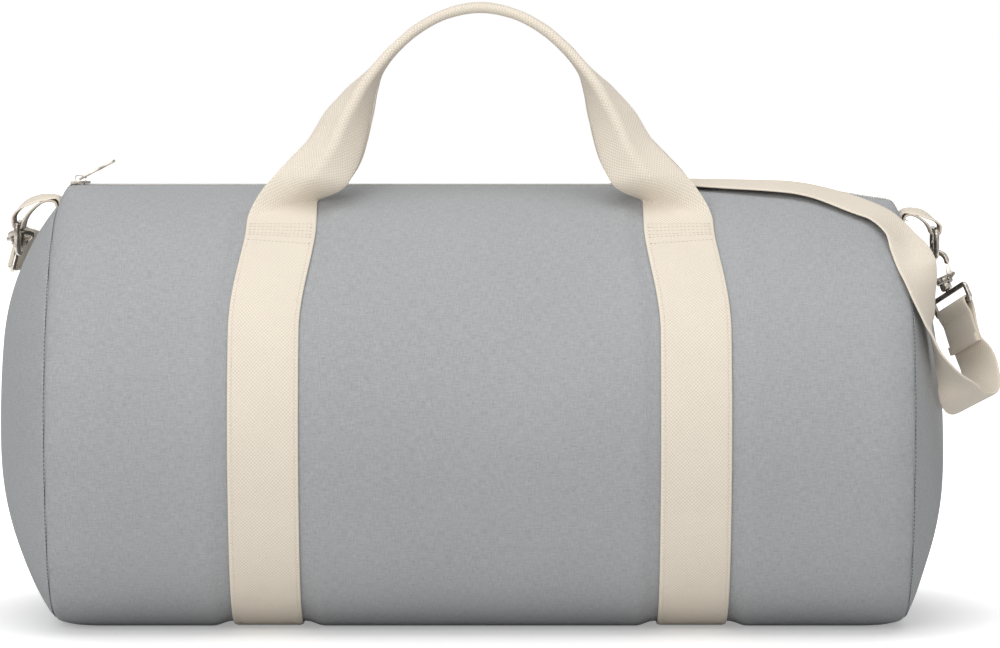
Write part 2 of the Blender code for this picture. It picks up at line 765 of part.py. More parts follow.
class Hook:
    """Where one snap hook sits. Down points from its curl to its eye, across to its gate."""

    def __init__(self, side):
        bar = ring_place(side)
        seat = CURL_INNER - RING_WIRE / 2 - HOOK_SEAT
        if side == RIGHT:
            self.down = RIGHT_HOOK_DIRECTION
            held = bar + Vector((0.0, 0.0, -RING_DEPTH))
            wire = Vector((0.0, 1.0, 0.0))
            bar_way = RIGHT_BAR_DIRECTION
        else:
            self.down = LEFT_HOOK_DIRECTION
            held = bar + Vector((0.0, (RING_INNER_WIDTH + RING_WIRE) / 2, -RING_SIDE))
            wire = Vector((0.0, 0.0, 1.0))
            bar_way = LEFT_BAR_DIRECTION
        self.middle = held + self.down * seat
        self.thick = (wire - self.down * wire.dot(self.down)).normalized()
        self.across = self.thick.cross(self.down)
        if self.across.x * side < 0:
            self.across = -self.across
        self.eye_across = (bar_way - self.down * bar_way.dot(self.down)).normalized()
        self.eye_thick = self.eye_across.cross(self.down)
        self.eye_bar = self.middle + self.down * EYE_BAR
        self.pivot = self.place(GATE_PIVOT_ACROSS, GATE_PIVOT_DOWN, 0.0)

    def place(self, across, down, thick):
        return self.middle + self.across * across + self.down * down + self.thick * thick

    def eye_place(self, across, down, thick):
        return self.middle + self.eye_across * across + self.down * down + self.eye_thick * thick

    def round_place(self, down, turned, radius):
        return self.middle + self.down * down + (
            self.across * math.cos(turned) + self.thick * math.sin(turned)
        ) * radius


def round_post(name, hook, start, end, diameter, metal):
    """A round post on the hook's long line."""
    loops = []
    for down in (start, end):
        loops.append([hook.round_place(down, math.tau * step / 12, diameter / 2) for step in range(12)])
    return sweep(name, loops, metal)


def pin_shape(name, hook, diameter, half_length, metal):
    outline = round_outline(GATE_PIVOT_ACROSS, GATE_PIVOT_DOWN, diameter / 2, 12)
    return outline_solid(name, outline, hook.place, half_length, metal)


def make_hook_body(hook, name, metal):
    """The curl and, joined to it, the forked block and the barrel that takes the eye's stem."""
    bow = CURL_INNER + CURL_WIRE / 2
    path = [(-0.40 * bow, HOOK_BLOCK_BASE - CURL_WIRE / 2), (-0.80 * bow, HOOK_BLOCK_TOP - CURL_WIRE / 2)]
    path += [(-0.98 * bow, bow * 0.5)]
    path += [(a, b) for a, b in arc(0.0, 0.0, bow, -bow, 180.0, -18.0, 11)]
    places = [hook.place(a, b, 0.0) for a, b in path]
    body = sweep(name, wire_loops(places, hook.thick, CURL_WIRE / 2, 8, False), metal)
    block = outline_solid(
        name + "_block",
        box_outline(-HOOK_BLOCK_LEFT, HOOK_BLOCK_RIGHT, HOOK_BLOCK_TOP, HOOK_BLOCK_BASE),
        hook.place,
        HOOK_BLOCK_THICK / 2,
        metal,
    )
    barrel = round_post(
        name + "_barrel", hook, HOOK_BLOCK_BASE - SINK, HOOK_BARREL_BASE, HOOK_BARREL_WIDTH, metal
    )
    slot = outline_solid(
        name + "_slot",
        box_outline(HOOK_SLOT_LEFT, HOOK_BLOCK_RIGHT * 2, HOOK_BLOCK_TOP - CURL_WIRE, HOOK_BLOCK_BASE - 2 * SINK),
        hook.place,
        HOOK_SLOT / 2,
        metal,
    )
    hole = pin_shape(name + "_hole", hook, GATE_HOLE, HOOK_BLOCK_THICK, metal)
    bore = round_post(name + "_bore", hook, HOOK_BORE_TOP, HOOK_BARREL_BASE + EYE_WIRE, HOOK_BORE, metal)
    combine(body, block, "UNION")
    combine(body, barrel, "UNION")
    combine(body, slot, "DIFFERENCE")
    combine(body, hole, "DIFFERENCE")
    combine(body, bore, "DIFFERENCE")


def make_hook_eye(hook, name, metal):
    """A wire eye for the strap, with the stem on which it swivels."""
    half = (EYE_INNER_WIDTH + EYE_WIRE) / 2
    inner = half - EYE_CORNER
    corner = EYE_CORNER
    outline = arc(inner, EYE_TOP + corner, corner, corner, -90.0, 0.0, 3)
    outline += arc(inner, EYE_BAR - corner, corner, corner, 0.0, 90.0, 3)
    outline += arc(-inner, EYE_BAR - corner, corner, corner, 90.0, 180.0, 3)
    outline += arc(-inner, EYE_TOP + corner, corner, corner, 180.0, 270.0, 3)
    places = [hook.eye_place(a, b, 0.0) for a, b in outline]
    body = sweep(name, wire_loops(places, hook.eye_thick, EYE_WIRE / 2, 8, True), metal, True)
    stem = round_post(name + "_stem", hook, EYE_STEM_TOP, EYE_TOP, EYE_STEM, metal)
    combine(body, stem, "UNION")


def make_gate(hook, name, metal):
    """A lever from its pin to the tip of the curl, with a nub for the thumb."""
    a, b = GATE_PIVOT_ACROSS, GATE_PIVOT_DOWN
    thick = GATE_THICK
    tip = b - GATE_LENGTH
    outline = [(a - thick * 0.65, b + thick * 0.45), (a + thick * 0.4, b + thick * 0.45)]
    outline += [(a + thick * 1.7, b - thick * 0.35), (a + thick * 2.5, b - thick * 0.8)]
    outline += [(a + thick * 2.5, b - thick * 1.4), (a + thick * 1.6, b - thick * 1.8)]
    outline += [(a + thick * 1.7, tip), (a + thick * 0.75, tip), (a - thick * 0.4, b - thick * 0.9)]
    body = outline_solid(name, outline, hook.place, HOOK_SLOT / 2 - GAP, metal)
    combine(body, pin_shape(name + "_hole", hook, GATE_HOLE, HOOK_SLOT, metal), "DIFFERENCE")


def make_spring(hook, name, metal):
    """A leaf that stands in the block's slot and bears on the gate from inside."""
    start = HOOK_SLOT_LEFT + GAP + SPRING_THICK / 2
    rise = HOOK_BLOCK_BASE - 3 * SINK - HOOK_BLOCK_TOP
    rows = [(start, HOOK_BLOCK_BASE - 3 * SINK), (start + rise * 0.1, HOOK_BLOCK_TOP + rise * 0.5)]
    rows += [(start + rise * 0.28, HOOK_BLOCK_TOP), (start + rise * 0.52, HOOK_BLOCK_TOP - rise * 0.5)]
    places = [hook.place(a, b, 0.0) for a, b in rows]
    facing = [hook.across for _ in places]
    sweep(name, ribbon_loops(places, path_ways(places), facing, SPRING_WIDTH, SPRING_THICK), metal)


def make_snap_hook(side, label, metal):
    hook = Hook(side)
    make_hook_body(hook, "hook_body_" + label, metal)
    make_hook_eye(hook, "hook_eye_" + label, metal)
    make_gate(hook, "hook_gate_" + label, metal)
    pin_shape("hook_pin_" + label, hook, GATE_PIN, HOOK_BLOCK_THICK / 2 + GATE_PIN_OVERHANG, metal)
    make_spring(hook, "gate_spring_" + label, metal)


# Shoulder strap


def barrel_row(x, degrees, lift):
    """A place above the barrel, and the direction square to it."""
    angle = math.radians(degrees)
    nudge, step = TURN_STEP / 10, STRAP_STEP / 10
    around = body_point(x, angle + nudge, 0.0, False) - body_point(x, angle - nudge, 0.0, False)
    along = body_point(x + step, angle, 0.0, False) - body_point(x - step, angle, 0.0, False)
    outward = around.cross(along).normalized()
    return body_point(x, angle, 0.0, False) + outward * lift, outward


def seam_row(side, degrees, lift):
    """A place over an end seam, facing half along the barrel and half along the end panel."""
    angle = math.radians(degrees)
    barrel_normal = barrel_row(side * SEAM_HALF, degrees, lift)[1]
    point, dome_normal = dome_point(side, 1.0, angle)
    outward = (barrel_normal + dome_normal).normalized()
    return point + outward * lift, outward


def wrap_rows(bar, away, near):
    """The strap round an eye's bar. Away is where both layers lead, and near is the side of the first layer."""
    radius = EYE_WIRE / 2 + GAP + STRAP_THICK / 2
    rows = [bar + away * (radius * 1.1) + near * (radius * 0.96)]
    for step in range(7):
        turn = math.pi * step / 6
        rows.append(bar + near * (radius * math.cos(turn)) - away * (radius * math.sin(turn)))
    rows.append(bar + away * (radius * 1.1) - near * (radius * 0.96))
    return rows


def strap_controls():
    """Every place of the strap with its near edge or its outward direction, from the right end to the left."""
    lift = 1.5 * GAP + STRAP_THICK / 2
    layer = STRAP_THICK / 2 + GAP / 2
    right, left = Hook(RIGHT), Hook(LEFT)
    edge = right.eye_across
    face = right.down.cross(edge)
    bar = right.eye_bar
    hang = RIGHT_STRAP_DIRECTION * STRAP_TAIL
    rows = [(bar + hang + face * layer, edge, "edge"), (bar + hang * 0.6 + face * layer, edge, "edge")]
    lead = right.down * STRAP_LEAD
    rows.append((bar + lead + face * (1.7 * layer), edge, "edge"))
    rows += [(place, edge, "edge") for place in wrap_rows(bar, right.down, face)]
    rows.append((bar + lead - face * (1.7 * layer), edge, "edge"))
    rows += [(bar + hang * 0.6 - face * layer, edge, "edge"), (bar + hang - face * layer, edge, "edge")]
    for shares, near_edge in LOOP_SHARES:
        rows.append((bar + Vector(shares) * STRAP_LOOP, Vector(near_edge), "edge"))
    right_cut = len(rows) - len(LOOP_SHARES) + RIGHT_CUT_ROW
    first_top = len(rows)
    for share, degrees in OVER_TOP_SHARES:
        raised = STRAP_ZIP_LIFT * (1.0 - ease(abs(degrees), 14.0, 30.0))
        raised = max(raised, SEAM_LIFT * ease(abs(share), 0.85, 1.0))
        rows.append((*barrel_row(share * SEAM_HALF, degrees, lift + raised), "face"))
    rows.append((*seam_row(LEFT, LEFT_SEAM_ANGLE, lift + SEAM_LIFT), "face"))
    for share, degrees, off in LEFT_DOME_SHARES:
        rows.append((*dome_point(LEFT, share, math.radians(degrees), lift + off * RING_REACH_LEFT), "face"))
    left_cut = len(rows) - 2
    last_in = len(rows)
    away = rows[-1][0] - left.eye_bar
    away = (away - left.eye_across * away.dot(left.eye_across)).normalized()
    outward = left.eye_across.cross(away)
    edge = outward.cross(-away)
    left_wrap = wrap_rows(left.eye_bar, away, -outward)
    rows += [(place, edge, "edge") for place in left_wrap]
    for index in range(last_in - 1, first_top + ADJUSTER_ROW - 1, -1):
        place, normal, _ = rows[index]
        spread = RETURN_SPREAD * max(0, index - last_in + 3) / 2
        rows.append((place + normal * (RETURN_LIFT + spread), -normal, "face"))
    return_cut = last_in + len(left_wrap) + (last_in - 1 - left_cut)
    return rows, (right_cut, left_cut, return_cut, first_top + ADJUSTER_ROW)


def strap_curve():
    """The strap's middle line as places, directions of travel, outward directions and distances, and the cuts."""
    rows, cuts = strap_controls()
    rough_ways = path_ways([row[0] for row in rows])
    values = []
    for (place, way, kind), along in zip(rows, rough_ways):
        outward = along.cross(way).normalized() if kind == "edge" else way
        values.append((*place, *outward))
    fine = smooth_rows(values, STRAP_STEP / 9)
    places = [Vector(row[:3]) for row in fine]
    facing = [Vector(row[3:]).normalized() for row in fine]
    distances = [0.0]
    for before, after in zip(places, places[1:]):
        distances.append(distances[-1] + (after - before).length)
    marks = []
    for cut in cuts:
        nearest = min(range(len(places)), key=lambda index: (places[index] - rows[cut][0]).length)
        marks.append(distances[nearest])
    return (places, path_ways(places), facing, distances), marks


def at_distance(curve, wanted):
    """Place, direction of travel and outward direction at one distance along the strap."""
    places, ways, facing, distances = curve
    after = next((index for index in range(1, len(distances)) if distances[index] >= wanted), len(distances) - 1)
    before = after - 1
    share = (wanted - distances[before]) / (distances[after] - distances[before])
    return [values[before].lerp(values[after], share) for values in (places, ways, facing)]


def even_stations(curve, start, end):
    """Distances between two cuts, closer together where the strap bends."""
    _, ways, _, distances = curve
    found = [start]
    bend = 0.0
    for index in range(1, len(distances)):
        if not start + STRAP_STEP / 4 < distances[index] < end - STRAP_STEP / 4:
            continue
        bend += ways[index].angle(ways[index - 1])
        if distances[index] - found[-1] >= STRAP_STEP or bend >= STRAP_BEND:
            found.append(distances[index])
            bend = 0.0
    return [*found, end]


def weave_lift(offset):
    """How far the strap climbs at a distance from the adjuster's middle bar."""
    top = ADJUSTER_THICK + STRAP_THICK + 5 * GAP
    start, end = weave_span()
    return top * (1.0 - min(1.0, max(0.0, (abs(offset) - start) / (end - start))))


def weave_span():
    return ADJUSTER_BAR / 2 + STRAP_THICK * 0.3, ADJUSTER_LENGTH / 2 - ADJUSTER_BAR - GAP


def strap_stretch(name, curve, start, end, webbing, woven_at=None):
    """One stretch of the strap between two distances along it."""
    wanted = even_stations(curve, start, end)
    if woven_at is not None:
        wanted = [value for value in wanted if abs(value - woven_at) > ADJUSTER_LENGTH / 2]
        for offset in (*weave_span(), ADJUSTER_LENGTH / 2):
            wanted += [woven_at - offset, woven_at + offset]
        wanted.sort()
    rows = [at_distance(curve, value) for value in wanted]
    if woven_at is not None:
        for value, row in zip(wanted, rows):
            row[0] = row[0] + row[2].normalized() * weave_lift(value - woven_at)
    places, ways, facing = zip(*rows)
    sweep(name, ribbon_loops(places, ways, facing, STRAP_WIDTH, STRAP_THICK), webbing)


def make_strap(webbing, metal):
    """The strap in four stretches, and its adjuster."""
    curve, (right_cut, left_cut, return_cut, adjuster_at) = strap_curve()
    end = curve[3][-1] - ADJUSTER_LENGTH / 2 - RETURN_STOP
    strap_stretch("strap_end_right", curve, 0.0, right_cut - GAP, webbing)
    strap_stretch("shoulder_strap", curve, right_cut + GAP, left_cut - GAP, webbing, adjuster_at)
    strap_stretch("strap_end_left", curve, left_cut + GAP, return_cut - GAP, webbing)
    strap_stretch("strap_return", curve, return_cut + GAP, end, webbing)
    middle, along, outward = at_distance(curve, adjuster_at)
    across = outward.cross(along).normalized()
    outward = along.cross(across).normalized()
    middle = middle + outward * (STRAP_THICK / 2 + 2.5 * GAP + ADJUSTER_THICK / 2)

    def place(a, b, c):
        return middle + along * a + across * b + outward * c

    long_half, wide_half = ADJUSTER_LENGTH / 2, ADJUSTER_WIDTH / 2
    frame = outline_solid(
        "strap_adjuster",
        box_outline(-long_half, long_half, -wide_half, wide_half),
        place,
        ADJUSTER_THICK / 2,
        metal,
    )
    for sign in (-1, 1):
        near, far = sign * ADJUSTER_BAR / 2, sign * (long_half - ADJUSTER_BAR)
        slot = outline_solid(
            "adjuster_slot",
            box_outline(min(near, far), max(near, far), -ADJUSTER_SLOT_WIDTH / 2, ADJUSTER_SLOT_WIDTH / 2),
            place,
            ADJUSTER_THICK,
            metal,
        )
        combine(frame, slot, "DIFFERENCE")


def main():
    clear_scene()
    canvas = make_material("grey_canvas", (0.36, 0.375, 0.39), 0.9)
    webbing = make_material("cream_webbing", (0.83, 0.77, 0.66), 0.85)
    metal = make_material("nickel", (0.62, 0.60, 0.57), 0.25, 1.0)
    make_main_panel(canvas)
    make_slider(metal)
    make_puller(metal)
    for facing, label in ((1, "front"), (-1, "back")):
        make_tape(facing, "zip_tape_" + label, webbing)
        make_chain(facing, "zip_chain_" + label, webbing)
        make_handle(facing, "carry_handle_" + label, webbing)
    for side, label in ((LEFT, "left"), (RIGHT, "right")):
        make_end_panel(side, "end_panel_" + label, canvas)
        make_binding(side, "end_seam_binding_" + label, webbing)
        make_band(side, "webbing_band_" + label, webbing)
        make_tab(side, "end_tab_" + label, webbing)
        make_ring(side, "d_ring_" + label, metal)
        make_snap_hook(side, label, metal)
    make_strap(webbing, metal)


main()
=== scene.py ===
"""The looks of a barrel sports bag: sewn canvas, webbing, a coil zip, nickel fittings and a clip-on strap."""

import math

import bmesh
import bpy
from bpy.props import FloatProperty, FloatVectorProperty, IntProperty, PointerProperty
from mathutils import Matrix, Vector, noise


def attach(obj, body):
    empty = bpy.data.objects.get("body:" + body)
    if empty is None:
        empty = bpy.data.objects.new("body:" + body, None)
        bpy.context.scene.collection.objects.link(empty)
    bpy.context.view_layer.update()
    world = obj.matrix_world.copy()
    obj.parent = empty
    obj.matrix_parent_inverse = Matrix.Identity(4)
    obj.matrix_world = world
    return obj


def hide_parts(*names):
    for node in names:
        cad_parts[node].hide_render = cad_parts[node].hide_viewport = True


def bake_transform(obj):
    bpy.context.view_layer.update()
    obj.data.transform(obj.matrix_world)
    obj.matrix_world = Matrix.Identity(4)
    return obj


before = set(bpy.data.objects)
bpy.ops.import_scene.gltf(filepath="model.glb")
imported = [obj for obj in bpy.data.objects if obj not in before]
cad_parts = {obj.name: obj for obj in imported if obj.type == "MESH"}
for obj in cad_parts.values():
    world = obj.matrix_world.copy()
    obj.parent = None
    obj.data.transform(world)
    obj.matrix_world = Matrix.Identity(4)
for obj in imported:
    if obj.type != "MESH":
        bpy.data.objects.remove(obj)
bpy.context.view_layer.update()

bl_info = {
    "name": "Barrel Sports Bag",
    "version": (1, 0, 0),
    "blender": (4, 5, 0),
    "location": "View3D > Sidebar > Sports Bag",
    "description": "Builds the canvas, webbing and fittings of a barrel sports bag round its solid frame",
    "category": "Object",
}

BAG = "bag"
LEFT, RIGHT = -1, 1
SIDES = ((LEFT, "left"), (RIGHT, "right"))
FACINGS = ((1, "front"), (-1, "back"))

# Barrel, in metres. Angles round it start at its top and grow towards the front
SEAM_LENGTH = 0.467
SEAM_HALF = SEAM_LENGTH / 2
BODY_DEPTH = 0.254
BODY_HEIGHT = 0.241
WIDEST_HEIGHT = 0.112
BASE_SETTLE = 0.0025
CANVAS = 0.0012
CANVAS_INNER = CANVAS * 1.3
CORNER_DROP = 0.0095
CORNER_RUN = 0.0285
ZIP_CORNER_RUN = 0.0060
BASE_FULLNESS = 0.7
BASE_DROP_SHARE = 0.35
GAP = 0.0003
SLOT_WIDTH = 0.014
SLOT_ANGLE = math.asin(SLOT_WIDTH / BODY_DEPTH)
TOP_RADIUS = BODY_HEIGHT - WIDEST_HEIGHT
PINCH_ANGLES = (math.radians(15.0), math.radians(26.25))
CREST_ANGLES = (math.radians(8.0), math.radians(18.0))
BASE_ANGLES = (math.radians(90.0), math.radians(150.0))
SEAM_ROLL = 0.0026
END_ROLL = 0.0018
SEAM_DITCH = 0.0013
SEAM_HELD = (0.002, 0.012)
HEM_WIDTH = 0.0072
HEM_RISE = 0.0006
HEM_ROLL = CANVAS * 0.6
HEM_STEP = (HEM_WIDTH - 0.0010, HEM_WIDTH + 0.0008)
HEM_GROOVE = 0.0030
HEM_GROOVE_DEPTH = 0.00035
HEM_GROOVE_WIDTH = 0.0005

# How far each end bulges, how high its crown is, and the power of its curve
END_SIZES = {LEFT: (0.033, 0.125, 2.8), RIGHT: (0.0246, 0.095, 2.1)}

# Where the canvas has its points: distances from a folded edge or a seam, then even steps
HEM_POINTS = (0.0, 0.00015, 0.0005, 0.0011, 0.0024, 0.0030, 0.0036, 0.0056, HEM_WIDTH, HEM_WIDTH + 0.0009)
SEAM_POINTS = (0.0, 0.0002, 0.0006, 0.0012, 0.0020, 0.0034, 0.0052)
BARREL_STEPS = 172
HALF_LENGTH_STEPS = 88
END_STEPS = 144
END_RIM_SHARES = [1.0, 0.9985, 0.9955, 0.991, 0.985, 0.975, 0.96]
END_SHARES = END_RIM_SHARES + [0.94 - 0.03 * step for step in range(30)] + [0.025]

# Slack of the canvas: waves along, round and shifted, shares of the depth, and puckers along the end seams
BARREL_HOLLOWS = (10.0, 1.9, 0.0)
BARREL_CREASES = (31.0, 4.6, 7.0)
BARREL_SLACK = (0.55, 0.6, 0.25)
BAND_SLACK_RUN = 0.030
SEAM_SLACK_RUN = 0.035
TOP_SLACK_ANGLE = 0.30
BASE_SLACK_ANGLES = (2.1, 2.6)
END_HOLLOWS = 13.0
END_SLACK = 1.1
END_SLACK_FLOOR = 0.6
END_SLACK_RUN = 0.04
PUCKERS = 23.0
BARREL_PUCKERS = (0.42, 0.013)
BARREL_PUCKER_WANDER = 2.2
WANDER_WAVES = 2.0
WANDER_SHIFT = 4.0
TOP_PUCKER_ANGLES = (0.25, 0.5)
BASE_PUCKER_ANGLES = (2.2, 2.7)
END_PUCKERS = (0.35, 0.012)
END_PUCKER_WANDER = 2.0

# How far the top of the slack right end has sunk, and where the sinking starts and ends
END_SETTLE = 0.0085
SETTLE_START = 0.165
SETTLE_FULL = 0.236
SETTLE_HELD = 0.230
SETTLE_END = 0.2495
SETTLE_ANGLES = (math.radians(20.0), math.radians(75.0))

# Webbing of the bands and handles
WEBBING_WIDTH = 0.038
WEBBING_THICK = 0.0020
BAND_OFFSET = 0.116
BAND_LEAN = 0.0079
BAND_LEAN_END = math.radians(64.0)
BAND_PINCH = 0.0026
PINCH_MARGIN = 0.0015
PINCH_RUN = 0.010
FOOT_ANGLE = math.radians(30.0)
BAND_END_DEGREES = 36.0
BAND_STEPS = 150
STRIP_SHARES = (0.0, 0.35, 0.65, 0.86, 0.95, 0.985, 1.0)
STRIP_EDGE_POWER = 16
STRIP_CAMBER_LEVEL = 0.45
FOOT_GAP = 0.0008
FOOT_DEGREES = (BAND_END_DEGREES, 34.0, 32.0, 30.5)
HANDLE_TOP = 0.340
HANDLE_INSET = 0.0035
HANDLE_STEP = 0.0024
GRIP_FOLD = math.radians(90.5)
FOLD_RADIUS = 0.0027
FOLD_STEP = 0.0002
FOLD_SHARES = (0.0, 0.05, 0.10, 0.14, 0.20, 0.3, 0.5, 0.75, 0.92, 0.98, 1.0)
FOOT_LENGTH = 0.0146
FOOT_HOLD = 0.022
FOOT_RELEASE = 0.018
FOOT_TURN_SHARES = (0.08, 0.45)
LEAN_SHARES = (0.44, -0.05)

# Half a handle from its foot to its grip: shares of the way aside and up, and of the fold
HANDLE_SHARES = (
    (0.982, 0.035, 0.02),
    (0.950, 0.08, 0.06),
    (0.905, 0.13, 0.13),
    (0.850, 0.19, 0.22),
    (0.797, 0.25, 0.31),
    (0.752, 0.31, 0.39),
    (0.717, 0.38, 0.47),
    (0.686, 0.45, 0.54),
    (0.652, 0.51, 0.63),
    (0.612, 0.58, 0.75),
    (0.578, 0.63, 0.85),
    (0.532, 0.69, 0.96),
    (0.447, 0.785, 1.0),
    (0.325, 0.888, 1.0),
    (0.172, 0.968, 1.0),
    (0.0, 1.0, 1.0),
)

# Zip
TAPE_REACH = 0.016
TAPE_THICK = 0.0008
TAPE_TOP = BODY_HEIGHT - CANVAS - GAP
CHAIN_HEIGHT = 0.0018
ZIP_HALF = SEAM_HALF - ZIP_CORNER_RUN
ZIP_BEND_STEPS = 10
TAPE_EDGE = 0.0009
TAPE_STEPS = 150
TAPE_END = SEAM_HALF - 0.0012
TAPE_SINK = 0.0002
TAPE_SLOPE = 0.075
COIL_STEPS = 60
COIL_END = SEAM_HALF - 0.0026
COIL_OFFSET = 0.00135
COIL_RISE = 0.0011
COIL_WIDTH = 0.0036
COIL_SHARE = 0.62

# Bindings inside the end seams
BINDING_PLACE = SEAM_HALF - SEAM_ROLL - 0.0048
BINDING_DEPTH = CANVAS_INNER + 2.5 * GAP + 0.0007
BINDING_WIDTH = 0.0088
BINDING_THICK = 0.0012
BINDING_START = 22.5
BINDING_STEPS = 100

# Rounded edges of the metal solids
MERGE_DISTANCE = 1e-6
FLAT_ANGLE = math.radians(1.0)
BEVEL_ANGLE = math.radians(32.0)
BEVEL_SEGMENTS = 3
EDGE_WIDTHS = {"slider": 0.00022, "puller": 0.00035, "gate": 0.00025, "spring": 0.00005, "adjuster": 0.0004}

# Tabs, rings and hooks
TAB_WIDTH = 0.025
TAB_THICK = 0.0014
TAB_LAYER_GAP = 0.0004
TAB_CAMBER = 0.0028
TAB_BOW_START = (0.04, 0.18)
TAB_BOW_END = (0.28, 0.42)
HALF_TURN_STEPS = 6
RING_REACH = {LEFT: 0.023, RIGHT: 0.019}
RING_DROP = {LEFT: 0.012, RIGHT: 0.0155}
RING_INNER_WIDTH = 0.026
RING_WIRE = 0.0032
RING_DEPTH = 0.0163
RING_CORNER = 0.0020
RING_SIDE = 0.0065
CURL_INNER = 0.0045
CURL_WIRE = 0.0031
HOOK_SEAT = 0.0005
HOOK_BLOCK_TOP = 0.0088
HOOK_BLOCK_BASE = 0.0130
HOOK_BLOCK_LEFT = 0.0042
HOOK_BLOCK_RIGHT = 0.0050
HOOK_BLOCK_THICK = 0.0052
HOOK_SLOT = 0.0024
HOOK_SLOT_LEFT = 0.0004
HOOK_BARREL_BASE = 0.0168
HOOK_BARREL_WIDTH = 0.0066
EYE_STEM = 0.0024
EYE_WIRE = 0.0030
EYE_TOP = 0.0187
EYE_BAR = 0.0277
EYE_INNER_WIDTH = 0.026
EYE_CORNER = 0.0018
GATE_PIVOT_ACROSS = 0.0032
GATE_PIVOT_DOWN = 0.0112
GATE_PIN = 0.0014
PIN_HEAD = 0.0022
CHEEK_ROUND = 0.0005
WEB_ROUND = 0.0006

# Faces round the turned parts of a hook
BARREL_SIDES = 28
STEM_SIDES = 20
PIN_SIDES = 20

# Distances down the hook's barrel and shares of its radius there
BARREL_ROWS = (
    (-0.0004, 0.72),
    (0.0002, 0.94),
    (0.0009, 1.0),
    (0.0026, 1.0),
    (0.0033, 0.94),
    (0.0038, 0.78),
    (0.0039, 0.5),
)

# Rows of a block's rounded end: shares of the radius from its end face and in from its sides
ROUND_ROWS = ((0.0, 1.0), (0.29, 0.29), (1.0, 0.0))

# Rows of the curl's rounded tip: shares of the wire's radius beyond its last full section
TIP_SHARES = (0.35, 0.62, 0.82, 0.94)

# Rows of the eye's stem: distances down the hook and radii
STEM_ROWS = (
    (HOOK_BARREL_BASE - 0.0008, EYE_STEM / 2),
    (HOOK_BARREL_BASE + 0.0004, EYE_STEM / 2),
    (EYE_TOP - 0.0006, EYE_STEM / 2 + 0.0002),
    (EYE_TOP, EYE_STEM / 2 + 0.0004),
)

# Rows of a pin's head: distances out from the block and radii
PIN_ROWS = (
    (0.00045, 0.0004),
    (0.00038, 0.0008),
    (0.0001, PIN_HEAD / 2),
    (0.0, PIN_HEAD / 2),
    (-0.0001, GATE_PIN / 2),
)

# Shoulder strap
STRAP_WIDTH = 0.025
STRAP_THICK = 0.0016
STRAP_TAIL = 0.0235
STRAP_LEAD = 0.0068
STRAP_LOOP = 0.050
STRAP_ZIP_LIFT = 0.0012
SEAM_LIFT = 0.0018
ZIP_LIFT_DEGREES = (14.0, 30.0)
SEAM_LIFT_SHARES = (0.85, 1.0)
RETURN_LIFT = STRAP_THICK + 2 * GAP
RETURN_STOP = 0.0024
RETURN_SPREAD = 0.0010
ADJUSTER_LENGTH = 0.022
ADJUSTER_BAR = 0.0025
ADJUSTER_THICK = 0.0020
HEM_FOLD = 0.0052
CURVE_STEP = 0.0005
STRAP_STEP = 0.0011
CUT_LAP = 0.0008
RIGHT_HOOK_DIRECTION = Vector((0.36, -0.27, -0.893)).normalized()
LEFT_HOOK_DIRECTION = Vector((-0.14, 0.94, -0.30)).normalized()
RIGHT_BAR_DIRECTION = Vector((0.52, -0.71, 0.47))
LEFT_BAR_DIRECTION = Vector((0.22, 0.32, 0.92))
RIGHT_STRAP_DIRECTION = Vector((0.28, -0.30, -0.91)).normalized()

# The hanging loop at the right: places as shares of its size, seen from the eye, and its near edge
LOOP_SHARES = (
    ((0.240, -0.212, -0.597), (0.66, -0.50, 0.55)),
    ((0.263, -0.357, -0.786), (0.79, -0.40, 0.45)),
    ((0.238, -0.577, -0.925), (0.86, -0.20, 0.47)),
    ((0.163, -0.837, -0.984), (0.88, -0.08, 0.47)),
    ((0.053, -1.097, -0.964), (0.87, -0.16, 0.46)),
    ((-0.021, -1.317, -0.884), (0.86, -0.34, 0.37)),
    ((-0.077, -1.467, -0.746), (0.72, -0.66, 0.20)),
    ((-0.207, -1.597, -0.566), (0.38, -0.92, 0.05)),
    ((-0.321, -1.637, -0.356), (0.05, -0.99, 0.05)),
    ((-0.399, -1.637, -0.126), (-0.10, -0.99, 0.05)),
    ((-0.423, -1.637, 0.004), (-0.30, -0.95, 0.05)),
    ((-0.476, -1.580, 0.292), (-0.59, -0.80, 0.10)),
    ((-0.503, -1.522, 0.474), (-0.76, -0.64, 0.08)),
    ((-0.538, -1.447, 0.624), (-0.88, -0.46, 0.10)),
    ((-0.594, -1.263, 0.794), (-0.84, -0.53, 0.08)),
)
RIGHT_CUT_ROW = 11

# The strap over the bag and behind it: shares of the way to the seam, and degrees round the barrel
OVER_TOP_SHARES = (
    (0.976, 29.0),
    (0.938, 21.5),
    (0.882, 17.8),
    (0.797, 13.2),
    (0.685, 9.8),
    (0.591, 7.8),
    (0.518, 5.5),
    (0.467, 0.5),
    (0.412, -7.5),
    (0.348, -17.0),
    (0.283, -30.0),
    (0.238, -46.0),
    (0.205, -63.0),
    (0.136, -78.0),
    (0.034, -90.0),
    (-0.107, -97.0),
    (-0.257, -99.0),
    (-0.428, -95.0),
    (-0.600, -87.0),
    (-0.750, -77.0),
    (-0.870, -68.0),
    (-0.951, -61.0),
)
ADJUSTER_ROW = 16
LEFT_SEAM_ANGLE = -56.0

# The hanging ends: the body that carries each, and the two places between which it lets go of the bag
STRAP_BLENDS = {
    "strap_right": ("strap_hang_right", (0.240, -0.090, 0.150), (0.262, -0.050, 0.140)),
    "strap_left": ("strap_hang_left", (-0.250, 0.075, 0.192), (-0.259, 0.052, 0.202)),
}

# The strap over the left end: shares of the way to the seam, degrees, and shares of the ring's reach
LEFT_DOME_SHARES = ((0.93, -50.0, 0.09), (0.87, -42.0, 0.18), (0.84, -35.0, 0.29))

# Beads of the coil and the stitches
BEAD_INPUTS = ("Pitch", "Length", "Width", "Height")
BEAD_SEGMENTS = 6
BEAD_RINGS = 5

